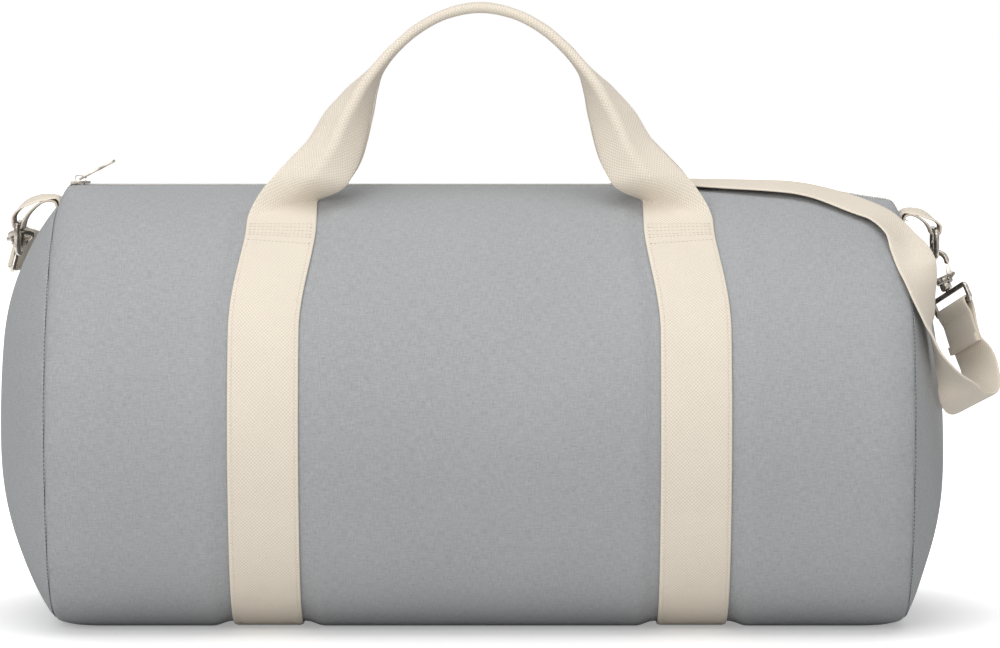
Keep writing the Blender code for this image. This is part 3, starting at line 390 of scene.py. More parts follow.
# Stitches
SELVEDGE_INSET = 0.0022
FOOT_INSET = 0.0026
FOOT_STITCH_DEGREES = (30.4, 31.7, 33.0, 34.3, 35.2, 37.4)
SEAM_STITCH_START = math.radians(14.0)
SEAM_STITCH_STEPS = 240
ZIP_STITCH_STEPS = 120
ZIP_STITCH_INSET = 0.004
ZIP_STITCH_RISE = HEM_RISE * 0.55
TAIL_STITCHES = (0.0014, 0.0150, 0.0190)
TAIL_STITCH_HALF = 0.0098
TAB_STITCH_HALF = 0.0100
TAB_STITCH_OUT = 0.0034

# Camera and stage
CAMERA_TARGET = Vector((0.0109, 0.0, 0.1634))
CAMERA_DISTANCE = 3.0
CAMERA_RISE = math.radians(4.0)
CAMERA_LENS = 194.0
CAMERA_SENSOR = 36.0
CAMERA_CLIP = 0.05
FLOOR_HALF = 6.0
SHADOW_REACH = (0.30, 0.24)
SHADOW_EDGE = (0.80, 1.35)
SHADOW_GLOW = 0.32
SOFT_LIGHT = 0.38
SHARP_ANGLE = math.radians(50.0)
WHITE = (1.0, 1.0, 1.0, 1.0)

# Name, place, aim, size and power of each lamp
LAMPS = (
    ("overhead", (0.0, -0.6, 2.2), (0.0, 0.0, 0.1), (2.4, 1.8), 29.0),
    ("front_left", (-0.9, -2.6, 1.2), (0.0, 0.0, 0.12), (1.6, 1.6), 31.5),
    ("front_right", (1.3, -2.4, 0.6), (0.0, 0.0, 0.12), (1.4, 1.4), 3.0),
)


class SportsBagSizes(bpy.types.PropertyGroup):
    """Sizes of the cloth's fine detail."""

    weave_pitch: FloatProperty(
        name="Weave pitch", description="Distance between two canvas threads",
        default=0.00058, subtype="DISTANCE"
    )
    dent_depth: FloatProperty(
        name="Dent depth", description="How far the canvas sinks between its seams",
        default=0.0013, subtype="DISTANCE"
    )
    float_pitch: FloatProperty(
        name="Float pitch", description="Distance between two floats of a column",
        default=0.0020, subtype="DISTANCE"
    )
    column_width: FloatProperty(
        name="Column width", description="Width of two columns of the webbing",
        default=0.0019, subtype="DISTANCE"
    )
    selvedge: FloatProperty(
        name="Selvedge", description="Width of the webbing's firm edges",
        default=0.0012, subtype="DISTANCE"
    )
    stitch_pitch: FloatProperty(
        name="Stitch pitch", description="Distance between two stitches",
        default=0.0030, subtype="DISTANCE"
    )
    stitch_length: FloatProperty(
        name="Stitch length", description="Length of thread that shows in one stitch",
        default=0.0023, subtype="DISTANCE"
    )
    thread_width: FloatProperty(
        name="Thread width", description="Thickness of the sewing thread",
        default=0.0007, subtype="DISTANCE"
    )
    coil_pitch: FloatProperty(
        name="Coil pitch", description="Distance between two turns of the zip's coil",
        default=0.0014, subtype="DISTANCE"
    )
    wire_sides: IntProperty(
        name="Wire sides", description="Faces round a wire", default=20, min=8, max=48
    )


class SportsBagColours(bpy.types.PropertyGroup):
    """Base colours of the materials."""

    canvas: FloatVectorProperty(
        name="Canvas", description="Grey cotton canvas",
        subtype="COLOR", size=3, default=(0.360, 0.367, 0.374)
    )
    webbing: FloatVectorProperty(
        name="Webbing", description="Cream cotton webbing",
        subtype="COLOR", size=3, default=(0.775, 0.697, 0.588)
    )
    thread: FloatVectorProperty(
        name="Thread", description="Cream sewing thread",
        subtype="COLOR", size=3, default=(0.775, 0.695, 0.583)
    )
    foot_thread: FloatVectorProperty(
        name="Foot thread", description="Thread of the handles' feet",
        subtype="COLOR", size=3, default=(0.60, 0.53, 0.43)
    )
    grey_thread: FloatVectorProperty(
        name="Grey thread", description="Thread of the canvas seams",
        subtype="COLOR", size=3, default=(0.115, 0.12, 0.13)
    )
    coil: FloatVectorProperty(
        name="Coil", description="Nylon coil of the zip",
        subtype="COLOR", size=3, default=(0.84, 0.78, 0.67)
    )
    nickel: FloatVectorProperty(
        name="Nickel", description="Plated fittings",
        subtype="COLOR", size=3, default=(0.40, 0.365, 0.32)
    )
    floor: FloatVectorProperty(
        name="Floor", description="Studio floor",
        subtype="COLOR", size=3, default=(0.82, 0.82, 0.82)
    )


def sizes():
    """The sizes in the scene's own property group."""
    return bpy.context.scene.sports_bag_sizes


def colours():
    """The colours in the scene's own property group."""
    return bpy.context.scene.sports_bag_colours


# Nodes and sums on their sockets


def tree_node(tree, kind, settings, links):
    """A node with its settings made first, then its sockets' values or links."""
    made = tree.nodes.new(kind)
    for key, value in settings.items():
        setattr(made, key, value)
    for key, value in links.items():
        if isinstance(value, bpy.types.NodeSocket):
            tree.links.new(value, made.inputs[key])
        else:
            made.inputs[key].default_value = value
    return made


class Value:
    """A number in a material's node tree. Sums on it add Math nodes."""

    def __init__(self, finish, socket):
        self.finish = finish
        self.socket = socket

    def sum_with(self, operation, *others):
        node = self.finish.node("ShaderNodeMath", {"operation": operation}, dict(enumerate(others)))
        return Value(self.finish, node.outputs[0])

    def __add__(self, other):
        return self.sum_with("ADD", self, other)

    __radd__ = __add__

    def __sub__(self, other):
        return self.sum_with("SUBTRACT", self, other)

    def __rsub__(self, other):
        return self.sum_with("SUBTRACT", other, self)

    def __mul__(self, other):
        return self.sum_with("MULTIPLY", self, other)

    __rmul__ = __mul__

    def __truediv__(self, other):
        return self.sum_with("DIVIDE", self, other)

    def __abs__(self):
        return self.sum_with("ABSOLUTE", self)

    def __pow__(self, other):
        return self.sum_with("POWER", self, other)

    def part(self):
        return self.sum_with("FRACT", self)

    def sine(self):
        return self.sum_with("SINE", self)

    def at_least(self, other):
        return self.sum_with("MAXIMUM", self, other)

    def rise(self, low, high):
        """0 below low and 1 above high, with a smooth step between them."""
        settings = {"interpolation_type": "SMOOTHSTEP"}
        inputs = {"Value": self, "From Min": low, "From Max": high}
        return Value(self.finish, self.finish.node("ShaderNodeMapRange", settings, inputs).outputs[0])


class Finish:
    """A material under construction round its Principled shader."""

    def __init__(self, name, roughness=0.9, metallic=0.0, sheen=0.0, specular=0.5):
        self.material = bpy.data.materials.new(name)
        self.material.use_nodes = True
        self.tree = self.material.node_tree
        self.shader = self.tree.nodes["Principled BSDF"]
        self.shader.inputs["Roughness"].default_value = roughness
        self.shader.inputs["Metallic"].default_value = metallic
        self.shader.inputs["Sheen Weight"].default_value = sheen
        self.shader.inputs["Specular IOR Level"].default_value = specular

    def node(self, kind, settings, inputs):
        links = {key: value.socket if isinstance(value, Value) else value for key, value in inputs.items()}
        return tree_node(self.tree, kind, settings, links)

    def cloth_place(self):
        """Across and along the cloth, in metres, from the piece's own map."""
        place = self.node("ShaderNodeUVMap", {"uv_map": "cloth"}, {})
        parts = self.node("ShaderNodeSeparateXYZ", {}, {0: Value(self, place.outputs[0])})
        return Value(self, parts.outputs[0]), Value(self, parts.outputs[1])

    def object_place(self):
        return Value(self, self.node("ShaderNodeTexCoord", {}, {}).outputs["Object"])

    def joined(self, across, along):
        """One place out of two values."""
        node = self.node("ShaderNodeCombineXYZ", {}, {0: across, 1: along})
        return Value(self, node.outputs[0])

    def grain(self, place, scale, detail=2.0, roughness=0.5):
        settings = {"noise_dimensions": "3D"}
        inputs = {"Vector": place, "Scale": scale, "Detail": detail, "Roughness": roughness}
        return Value(self, self.node("ShaderNodeTexNoise", settings, inputs).outputs[0])

    def mixed(self, share, first, second):
        """A colour at a share of the way from the first to the second."""
        settings = {"data_type": "RGBA", "clamp_factor": True}
        inputs = {0: share, 6: first, 7: second}
        return Value(self, self.node("ShaderNodeMix", settings, inputs).outputs[2])

    def feed(self, name, value):
        self.tree.links.new(value.socket, self.shader.inputs[name])

    def bump(self, height, depth, strength=1.0):
        node = self.node("ShaderNodeBump", {}, {"Strength": strength, "Distance": depth, "Height": height})
        self.feed("Normal", Value(self, node.outputs[0]))


def tinted(colour, share):
    """A lighter or darker tone of a colour, for a socket."""
    return (*(channel * share for channel in colour), 1.0)


def canvas_finish():
    """Plain-woven cotton canvas with slubs in both directions."""
    colour = tuple(colours().canvas)
    pitch = sizes().weave_pitch
    finish = Finish("grey_cotton_canvas", 0.94, sheen=0.08, specular=0.2)
    across, along = finish.cloth_place()
    turn = math.pi / pitch
    weave = (across * turn).sine() * (along * turn).sine()
    weft = finish.grain(finish.joined(across * 210.0, along * 1500.0), 1.0, 2.0)
    warp = finish.grain(finish.joined(across * 1500.0, along * 210.0), 1.0, 2.0)
    fleck = finish.grain(finish.joined(across * 900.0, along * 900.0), 1.0, 3.0, 0.7)
    patch = finish.grain(finish.joined(across * 9.0, along * 9.0), 1.0, 3.0)
    tone = weft * 0.34 + warp * 0.30 + fleck * 0.28 + patch * 0.10 + weave * 0.09
    finish.feed("Base Color", finish.mixed(tone.rise(0.24, 0.76), tinted(colour, 0.77), tinted(colour, 1.23)))
    finish.feed("Roughness", 0.88 + patch * 0.12)
    finish.bump(weave * 0.4 + weft * 0.9 + warp * 0.8 + fleck * 0.5, 0.00022, 0.55)
    return finish.material


def webbing_finish(name, width, weave_share=1.0):
    """Cotton webbing: short floats of yarn, staggered from column to column, between two firm selvedges."""
    colour = tuple(colours().webbing)
    finish = Finish(name, 0.88, sheen=0.12, specular=0.25)
    across, along = finish.cloth_place()
    columns = (across * (math.tau / (sizes().column_width * weave_share))).sine()
    rows = (along * (math.tau / (sizes().float_pitch * weave_share))).sine()
    rib = columns * rows * 0.5 + 0.5
    edge = abs(across).rise(width / 2 - sizes().selvedge, width / 2 - sizes().selvedge * 0.75)
    cord = abs((along / (sizes().float_pitch * 0.5)).part() - 0.5) * 2.0
    rib = rib * (1.0 - edge) + (cord * 0.5 + 0.5) * edge
    yarn = finish.grain(finish.joined(across * 1300.0, along * 1300.0), 1.0, 2.0, 0.6)
    cloud = finish.grain(finish.joined(across * 28.0, along * 28.0), 1.0, 3.0)
    speck = finish.grain(finish.joined(across * 420.0, along * 420.0), 1.0, 1.0).rise(0.74, 0.80)
    tone = rib * 0.55 + yarn * 0.45 + cloud * 0.20 - 0.10
    base = finish.mixed(tone.rise(0.05, 0.95), tinted(colour, 0.79), tinted(colour, 1.09))
    finish.feed("Base Color", finish.mixed(speck * 0.35, base, (0.42, 0.33, 0.22, 1.0)))
    finish.bump(rib * 0.75 + yarn * 0.35, 0.00025, 0.55)
    return finish.material


def thread_finish(name, colour):
    """Twisted cotton thread with a fine uneven tone."""
    finish = Finish(name, 0.7, sheen=0.1, specular=0.3)
    place = finish.object_place()
    strand = finish.grain(place, 2600.0, 2.0)
    finish.feed("Base Color", finish.mixed(strand, tinted(colour, 0.78), tinted(colour, 1.12)))
    finish.bump(strand, 0.0001, 0.4)
    return finish.material


def coil_finish():
    """Smooth nylon with a faint sheen."""
    colour = tuple(colours().coil)
    finish = Finish("zip_coil_nylon", 0.45, specular=0.4)
    grain = finish.grain(finish.object_place(), 700.0, 2.0)
    finish.feed("Base Color", finish.mixed(grain, tinted(colour, 0.90), tinted(colour, 1.05)))
    finish.feed("Roughness", 0.38 + grain * 0.16)
    return finish.material


def nickel_finish():
    """Polished plating with smudges and fine scratches. The smudges' strong dark and light patches in the
    base colour also stand in for painted reflections.
    """
    colour = tuple(colours().nickel)
    finish = Finish("polished_nickel", 0.2, metallic=1.0)
    place = finish.object_place()
    smudge_and_painted_reflection = finish.grain(place, 160.0, 4.0, 0.6)
    scratch = finish.grain(place, 2400.0, 2.0)
    # Smudges and painted reflections: the noise swings the base colour from far darker to lighter than the
    # plating, in place of the dark and bright reflections of the metal
    tone = smudge_and_painted_reflection.rise(0.30, 0.70)
    finish.feed("Base Color", finish.mixed(tone, tinted(colour, 0.38), tinted(colour, 1.3)))
    finish.feed("Roughness", 0.13 + tone * 0.10 + scratch * 0.06)
    finish.bump(scratch, 0.00004, 0.25)
    return finish.material


def floor_finish():
    """A pale floor that stays white to the camera outside the object's shadow."""
    finish = Finish("studio_floor", 0.95, specular=0.0)
    colour = tuple(colours().floor)
    grain = finish.grain(finish.object_place(), 14.0, 3.0)
    finish.feed("Base Color", finish.mixed(grain, tinted(colour, 0.995), tinted(colour, 1.005)))
    rays = finish.node("ShaderNodeLightPath", {}, {})
    seen = Value(finish, rays.outputs["Is Camera Ray"]).at_least(Value(finish, rays.outputs["Is Glossy Ray"]))
    seen = seen.at_least(Value(finish, rays.outputs["Is Transmission Ray"]))
    parts = finish.node("ShaderNodeSeparateXYZ", {}, {0: finish.object_place()})
    across = Value(finish, parts.outputs[0]) / SHADOW_REACH[0]
    along = Value(finish, parts.outputs[1]) / SHADOW_REACH[1]
    away = ((across * across + along * along) ** 0.5).rise(*SHADOW_EDGE)
    strength = seen * (SHADOW_GLOW + away * (1.0 - SHADOW_GLOW))
    glow = finish.node("ShaderNodeEmission", {}, {"Color": WHITE, "Strength": strength})
    links = {0: finish.shader.outputs[0], 1: glow.outputs[0]}
    both = tree_node(finish.tree, "ShaderNodeAddShader", {}, links)
    finish.tree.links.new(both.outputs[0], finish.tree.nodes["Material Output"].inputs[0])
    return finish.material


FINISHES = {}

# Pieces with these finishes keep their places where the right end has sunk
UNSETTLED_FINISHES = ("nickel", "floor", "tab_webbing")


def finish_of(name):
    """The material of that name, made the first time that a piece asks for it."""
    makers = {
        "canvas": canvas_finish,
        "wide_webbing": lambda: webbing_finish("cream_wide_webbing", WEBBING_WIDTH),
        "strap_webbing": lambda: webbing_finish("cream_strap_webbing", STRAP_WIDTH, 0.8),
        "tab_webbing": lambda: webbing_finish("cream_tab_webbing", TAB_WIDTH, 0.8),
        "zip_tape": lambda: webbing_finish("cream_zip_tape", 2 * TAPE_REACH, 0.45),
        "binding": lambda: webbing_finish("cream_seam_binding", TAB_WIDTH, 0.6),
        "thread": lambda: thread_finish("cream_thread", tuple(colours().thread)),
        "foot_thread": lambda: thread_finish("foot_thread", tuple(colours().foot_thread)),
        "grey_thread": lambda: thread_finish("grey_thread", tuple(colours().grey_thread)),
        "coil": coil_finish,
        "nickel": nickel_finish,
        "floor": floor_finish,
    }
    if name not in FINISHES:
        FINISHES[name] = makers[name]()
    return FINISHES[name]


# Meshes


def linked(name, data):
    """A new object of the scene, at its origin."""
    made = bpy.data.objects.new(name, data)
    bpy.context.scene.collection.objects.link(made)
    return made


def add_piece(name, points, faces, finish, places=None):
    """A smooth mesh object at the origin. places are the points' own places on the cloth."""
    if finish not in UNSETTLED_FINISHES:
        points = [settled(Vector(point)) for point in points]
    mesh = bpy.data.meshes.new(name)
    mesh.from_pydata([tuple(point) for point in points], [], faces)
    if places:
        layer = mesh.uv_layers.new(name="cloth")
        for loop in mesh.loops:
            layer.data[loop.index].uv = places[loop.vertex_index]
    work = bmesh.new()
    work.from_mesh(mesh)
    bmesh.ops.recalc_face_normals(work, faces=work.faces)
    work.to_mesh(mesh)
    work.free()
    mesh.shade_smooth()
    mesh.set_sharp_from_angle(angle=SHARP_ANGLE)
    mesh.materials.append(finish_of(finish))
    return linked(name, mesh)


def ring_faces(rows, count, start=0, closed=False):
    """Four-sided faces between rings of points that follow one another."""
    faces = []
    for row in range(rows if closed else rows - 1):
        near, far = start + row * count, start + (row + 1) % rows * count
        for col in range(count):
            beside = (col + 1) % count
            faces.append((near + col, near + beside, far + beside, far + col))
    return faces


def loft(name, loops, finish, closed=False, places=None):
    """A skin through a row of loops with equal counts, capped at its ends or closed on itself."""
    rows, count = len(loops), len(loops[0])
    points = [point for loop in loops for point in loop]
    faces = ring_faces(rows, count, closed=closed)
    if not closed:
        faces.append(tuple(range(count)))
        faces.append(tuple(range((rows - 1) * count, rows * count)))
    return add_piece(name, points, faces, finish, places)


def thick_cloth(name, outer, inner, spots, finish):
    """A cloth between two grids of points, walled along its edges."""
    rows, cols = len(outer), len(outer[0])
    depth = rows * cols
    points = [point for grid in (outer, inner) for row in grid for point in row]
    faces = []
    for row in range(rows - 1):
        for col in range(cols - 1):
            near, far = row * cols + col, (row + 1) * cols + col
            quad = (near, near + 1, far + 1, far)
            faces.append(quad)
            faces.append(tuple(corner + depth for corner in quad))
    rim = [(col, col + 1) for col in range(cols - 1)]
    rim += [(depth - cols + col, depth - cols + col + 1) for col in range(cols - 1)]
    rim += [(row * cols, (row + 1) * cols) for row in range(rows - 1)]
    rim += [(row * cols + cols - 1, (row + 1) * cols + cols - 1) for row in range(rows - 1)]
    faces += [(first, second, second + depth, first + depth) for first, second in rim]
    places = [spot for row in spots for spot in row]
    return add_piece(name, points, faces, finish, places + places)


def join_pieces(first, *others):
    """Several shells as one mesh object."""
    work = bmesh.new()
    for piece in (first, *others):
        work.from_mesh(piece.data)
    work.to_mesh(first.data)
    work.free()
    for piece in others:
        bpy.data.objects.remove(piece, do_unlink=True)
    return first


def blend(low, high, share):
    """The number at a share of the way from low to high."""
    return low + (high - low) * share


def evenly(start, end, steps):
    """Values in even steps from start to end."""
    return [blend(start, end, step / steps) for step in range(steps + 1)]


def turns_round(count):
    """Even angles round a full turn."""
    return [math.tau * step / count for step in range(count)]


def ease(value, start, end):
    """0 before start and 1 after end, with a smooth step between them."""
    share = min(1.0, max(0.0, (value - start) / (end - start)))
    return share * share * (3.0 - 2.0 * share)


def smooth_rows(rows, step):
    """Rows about one step apart on a smooth curve through rows whose first three values are a place."""
    size = len(rows[0])
    knots = [0.0]
    for before, after in zip(rows, rows[1:]):
        knots.append(knots[-1] + math.dist(before[:3], after[:3]))
    slopes = []
    for index in range(len(rows)):
        low, high = max(0, index - 1), min(len(rows) - 1, index + 1)
        run = knots[high] - knots[low]
        slopes.append([(rows[high][k] - rows[low][k]) / run for k in range(size)])
    found = []
    for index in range(len(rows) - 1):
        run = knots[index + 1] - knots[index]
        count = max(1, round(run / step))
        before, after = rows[index], rows[index + 1]
        for part in range(count):
            t = part / count
            weights = (2 * t**3 - 3 * t**2 + 1, (t**3 - 2 * t**2 + t) * run)
            weights += (3 * t**2 - 2 * t**3, (t**3 - t**2) * run)
            terms = zip(before, slopes[index], after, slopes[index + 1])
            found.append([sum(weight * term for weight, term in zip(weights, four)) for four in terms])
    found.append(list(rows[-1]))
    return found


def distances_along(places):
    """How far along a path each of its places is."""
    distances = [0.0]
    for before, after in zip(places, places[1:]):
        distances.append(distances[-1] + (after - before).length)
    return distances


def path_ways(places):
    """The direction of travel at each place of a path."""
    last = len(places) - 1
    return [(places[min(last, i + 1)] - places[max(0, i - 1)]).normalized() for i in range(last + 1)]


# Shape of the barrel


def band_offset(angle):
    """How far the middle of a band is from the middle of the bag."""
    angle = math.remainder(angle, math.tau)
    return BAND_OFFSET - BAND_LEAN * (1.0 - ease(abs(angle), FOOT_ANGLE, BAND_LEAN_END))


def beside_band(x, angle, run):
    """0 under a band and 1 where the canvas is free of it, a run further on."""
    edge = WEBBING_WIDTH / 2 + PINCH_MARGIN
    return ease(abs(abs(x) - band_offset(angle)), edge, edge + run)


def band_pinch(x, angle):
    """How deep the band presses into the canvas. Above the handles' feet the canvas is free again."""
    held = ease(abs(angle), *PINCH_ANGLES)
    return BAND_PINCH * (1.0 - beside_band(x, angle, PINCH_RUN)) * held


def corner_inset(x, angle):
    """How far the end of the barrel is drawn in. The zip line holds the crest up nearly to the seam."""
    wide = max(0.0, abs(x) - SEAM_HALF + CORNER_RUN) / CORNER_RUN
    narrow = max(0.0, abs(x) - SEAM_HALF + ZIP_CORNER_RUN) / ZIP_CORNER_RUN
    off_crest = ease(abs(angle), *CREST_ANGLES)
    drop = CORNER_DROP * blend(narrow**1.5, wide**3, off_crest)
    return drop * blend(BASE_DROP_SHARE, 1.0, (1.0 + math.cos(angle)) / 2)


def body_point(x, angle, inset=0.0, pinched=True):
    """A point of the barrel's outside, or of a shell that lies further in."""
    angle = math.remainder(angle, math.tau)
    floor = inset + (band_pinch(x, angle) if pinched else 0.0)
    squeeze = floor + corner_inset(x, angle)
    depth = BODY_DEPTH / 2 - squeeze
    if math.cos(angle) > 0:
        height = TOP_RADIUS - squeeze
    else:
        height = WIDEST_HEIGHT + BASE_SETTLE - squeeze
    power = 2.0 + BASE_FULLNESS * ease(abs(angle), *BASE_ANGLES)
    side, up = abs(math.sin(angle)), abs(math.cos(angle))
    radius = ((side / depth) ** power + (up / height) ** power) ** (-1.0 / power)
    level = WIDEST_HEIGHT + radius * math.cos(angle)
    return Vector((x, -radius * math.sin(angle), max(level, floor)))


def dome_point(side, share, angle, lift=0.0, inset=0.0):
    """A point of an end panel at a share of the way from its crown to its seam, and the normal there."""
    bulge, crown_height, power = END_SIZES[side]
    rim = body_point(side * SEAM_HALF, angle, inset)
    radial = Vector((0.0, rim.y, rim.z - crown_height))
    out = (bulge - inset) * (1.0 - share**power)
    slope = (bulge - inset) * power * max(share, 1e-6) ** (power - 1.0) / radial.length
    normal = (Vector((side, 0.0, 0.0)) + radial.normalized() * slope).normalized()
    point = Vector((side * (SEAM_HALF + out), share * radial.y, crown_height + share * radial.z))
    return point + normal * lift, normal


def roll_in(distance, radius):
    """How far an edge has rolled under at a distance from its end."""
    short = max(0.0, 1.0 - distance / radius)
    return radius * (1.0 - math.sqrt(max(0.0, 1.0 - short * short)))


def settled(point):
    """Where a point of the soft pieces lies after the right end has sunk."""
    if not SETTLE_START < point.x < SETTLE_END:
        return point
    angle = abs(math.atan2(point.y, point.z - WIDEST_HEIGHT))
    share = ease(point.x, SETTLE_START, SETTLE_FULL) * (1.0 - ease(point.x, SETTLE_HELD, SETTLE_END))
    return point - Vector((0.0, 0.0, END_SETTLE * share * (1.0 - ease(angle, *SETTLE_ANGLES))))


def slack(x, angle, waves):
    """A smooth random number at a place on the barrel."""
    along, around, shift = waves
    return noise.noise(Vector((x * along + shift, math.sin(angle) * around, math.cos(angle) * around)))


def canvas_dent(x, angle):
    """How far the slack canvas lies in: soft hollows between the bands, and puckers beside the end seams."""
    depth = sizes().dent_depth
    turn = abs(angle)
    from_seam = SEAM_HALF - abs(x)
    level, wide_share, fine_share = BARREL_SLACK
    free = beside_band(x, angle, BAND_SLACK_RUN) * ease(from_seam, 0.0, SEAM_SLACK_RUN)
    free *= ease(turn, SLOT_ANGLE, TOP_SLACK_ANGLE) * (1.0 - ease(turn, *BASE_SLACK_ANGLES))
    wide, fine = slack(x, angle, BARREL_HOLLOWS), slack(x, angle, BARREL_CREASES)
    hollow = depth * free * (level + wide_share * wide + fine_share * fine)
    wander = noise.noise(Vector((angle * WANDER_WAVES, x * WANDER_WAVES, WANDER_SHIFT)))
    pull = math.sin(angle * PUCKERS + BARREL_PUCKER_WANDER * wander)
    share, reach = BARREL_PUCKERS
    near = math.exp(-from_seam / reach) * ease(turn, *TOP_PUCKER_ANGLES)
    near *= 1.0 - ease(turn, *BASE_PUCKER_ANGLES)
    return max(0.0, hollow) + depth * share * near * (1.0 + pull)


def barrel_angles():
    """Where the barrel's canvas has points round the bag, closer together at its folded edges."""
    near = [SLOT_ANGLE + distance / TOP_RADIUS for distance in HEM_POINTS]
    start, end = near[-1], math.tau - near[-1]
    even = [start + (end - start) * step / BARREL_STEPS for step in range(1, BARREL_STEPS)]
    return near + even + [math.tau - angle for angle in reversed(near)]


def barrel_stations():
    """Where the barrel's canvas has points along the bag, closer together at its seams."""
    inner = SEAM_HALF - SEAM_POINTS[-1]
    stations = [inner * step / HALF_LENGTH_STEPS for step in range(HALF_LENGTH_STEPS + 1)]
    stations += [SEAM_HALF - distance for distance in reversed(SEAM_POINTS[:-1])]
    return [-x for x in reversed(stations[1:])] + stations


def hem_rise(from_slot):
    """How far the folded edge stands up at a distance from it, with the groove of its stitches."""
    groove = math.exp(-(((from_slot - HEM_GROOVE) / HEM_GROOVE_WIDTH) ** 2))
    return HEM_RISE * (1.0 - ease(from_slot, *HEM_STEP)) - HEM_GROOVE_DEPTH * groove


def make_canvas_barrel():
    """The barrel's canvas from one folded zip edge round under the bag to the other."""
    outer, under, spots = [], [], []
    for angle in barrel_angles():
        turn = math.remainder(angle, math.tau)
        from_slot = (abs(turn) - SLOT_ANGLE) * TOP_RADIUS
        edge = roll_in(from_slot, HEM_ROLL)
        rows = [[], [], []]
        for x in barrel_stations():
            from_seam = SEAM_HALF - abs(x)
            dent = canvas_dent(x, turn) + roll_in(from_seam, SEAM_ROLL)
            raised = hem_rise(from_slot) * ease(from_seam, *SEAM_HELD)
            rows[0].append(body_point(x, angle, dent + edge - raised))
            rows[1].append(body_point(x, angle, dent + CANVAS_INNER))
            rows[2].append((x, (angle - math.pi) * BODY_DEPTH / 2))
        for grid, row in zip((outer, under, spots), rows):
            grid.append(row)
    panel = thick_cloth("canvas_barrel", outer, under, spots, "canvas")
    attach(panel, BAG)
    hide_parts("main_panel")


def end_point(side, share, angle, inset):
    """A point of an end's canvas with its dents, and its place on the flat cloth."""
    depth = sizes().dent_depth
    point, normal = dome_point(side, share, angle, inset=inset)
    from_rim = (1.0 - share) * BODY_HEIGHT / 2
    wide = noise.noise(Vector((point.y * END_HOLLOWS, point.z * END_HOLLOWS, 5.0 * side)))
    wander = noise.noise(Vector((angle, 1.0, 2.0 * side)))
    pull = 1.0 + math.sin(angle * PUCKERS + END_PUCKER_WANDER * wander)
    dent = depth * END_SLACK * ease(from_rim, 0.0, END_SLACK_RUN) * (END_SLACK_FLOOR + wide)
    pucker_share, reach = END_PUCKERS
    dent += depth * pucker_share * pull * math.exp(-from_rim / reach)
    inward = Vector((0.0, -point.y, END_SIZES[side][1] - point.z)).normalized()
    placed = point + inward * roll_in(from_rim, END_ROLL) - normal * max(0.0, dent)
    placed.z = max(placed.z, inset)
    return placed, (point.y, point.z)


def make_canvas_end(side, label):
    """A domed end of canvas with its rim tucked into the seam."""
    count = END_STEPS
    points, faces, places = [], [], []
    for inset in (0.0, CANVAS):
        start = len(points)
        for share in END_SHARES:
            for angle in turns_round(count):
                point, place = end_point(side, share, angle, inset)
                points.append(point)
                places.append(place)
        middle = dome_point(side, 0.0, 0.0, inset=inset)[0]
        points.append(middle - Vector((side * sizes().dent_depth * END_SLACK_FLOOR, 0.0, 0.0)))
        places.append((middle.y, middle.z))
        crown = len(points) - 1
        faces += ring_faces(len(END_SHARES), count, start)
        last = start + (len(END_SHARES) - 1) * count
        faces += [(last + col, last + (col + 1) % count, crown) for col in range(count)]
    inner = len(points) // 2
    faces += [(col, (col + 1) % count, inner + (col + 1) % count, inner + col) for col in range(count)]
    panel = add_piece("canvas_end_" + label, points, faces, "canvas", places)
    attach(panel, BAG)
    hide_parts("end_panel_" + label)
    bulge = END_SIZES[side][0]
    across, tall = BODY_DEPTH + bulge, BODY_HEIGHT + bulge
    math.pi / 4 * across * tall


def strip_height(thick, share):
    """Half the thickness of a strip with firm round edges, at a share of the way to its edge."""
    return thick / 2 * (1.0 - abs(share) ** STRIP_EDGE_POWER) ** 0.5


def ribbon(name, frames, width, thick, finish, start=0.0, cambers=None):
    """A flat strip and its length. frames are its places with their across and outward directions.

    cambers are the heights of the strip's crown over its edges, one for each frame.
    """
    shares = [-share for share in reversed(STRIP_SHARES[1:])] + list(STRIP_SHARES)
    heights = [strip_height(thick, share) for share in shares]
    loops, places = [], []
    distance = start
    for index, (place, across, outward) in enumerate(frames):
        if index:
            distance += (place - frames[index - 1][0]).length
        crown = cambers[index] if cambers else 0.0
        rises = [crown * (STRIP_CAMBER_LEVEL - share * share) for share in shares]
        line = [
            place + across * (share * width / 2) + outward * rise for share, rise in zip(shares, rises)
        ]
        top = [point + outward * high for point, high in zip(line, heights)]
        base = [point - outward * high for point, high in zip(line, heights)]
        loops.append(top + base[-2:0:-1])
        row = [(share * width / 2, distance) for share in shares]
        places += row + row[-2:0:-1]
    return loft(name, loops, finish, places=places), distance - start


def make_binding(side, label):
    """The tape inside an end seam, from one side of the zip round to the other."""
    sweep = 360.0 - 2 * BINDING_START
    frames = []
    for step in range(BINDING_STEPS + 1):
        angle = math.radians(BINDING_START + sweep * step / BINDING_STEPS)
        frames.append(barrel_frame(side * BINDING_PLACE, angle, -BINDING_DEPTH))
    strip, _ = ribbon("seam_binding_" + label, frames, BINDING_WIDTH, BINDING_THICK, "binding")
    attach(strip, BAG)
    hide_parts("end_seam_binding_" + label)


def barrel_frame(x, angle, lift):
    """A place above the barrel, the direction along the bag there, and the direction square to the barrel."""
    nudge, step = math.radians(0.7), 0.0005
    around = body_point(x, angle + nudge) - body_point(x, angle - nudge)
    along = body_point(x + step, angle) - body_point(x - step, angle)
    outward = around.cross(along).normalized()
    return body_point(x, angle) + outward * lift, along.normalized(), outward


# Webbing


def band_frame(side, angle):
    """The middle of a band, its own across direction and the direction square to the barrel."""
    nudge = math.radians(0.5)
    lift = GAP + WEBBING_THICK / 2
    place, _, outward = barrel_frame(side * band_offset(angle), angle, lift)
    before = body_point(side * band_offset(angle - nudge), angle - nudge)
    after = body_point(side * band_offset(angle + nudge), angle + nudge)
    across = (after - before).cross(outward).normalized()
    return place, across, outward


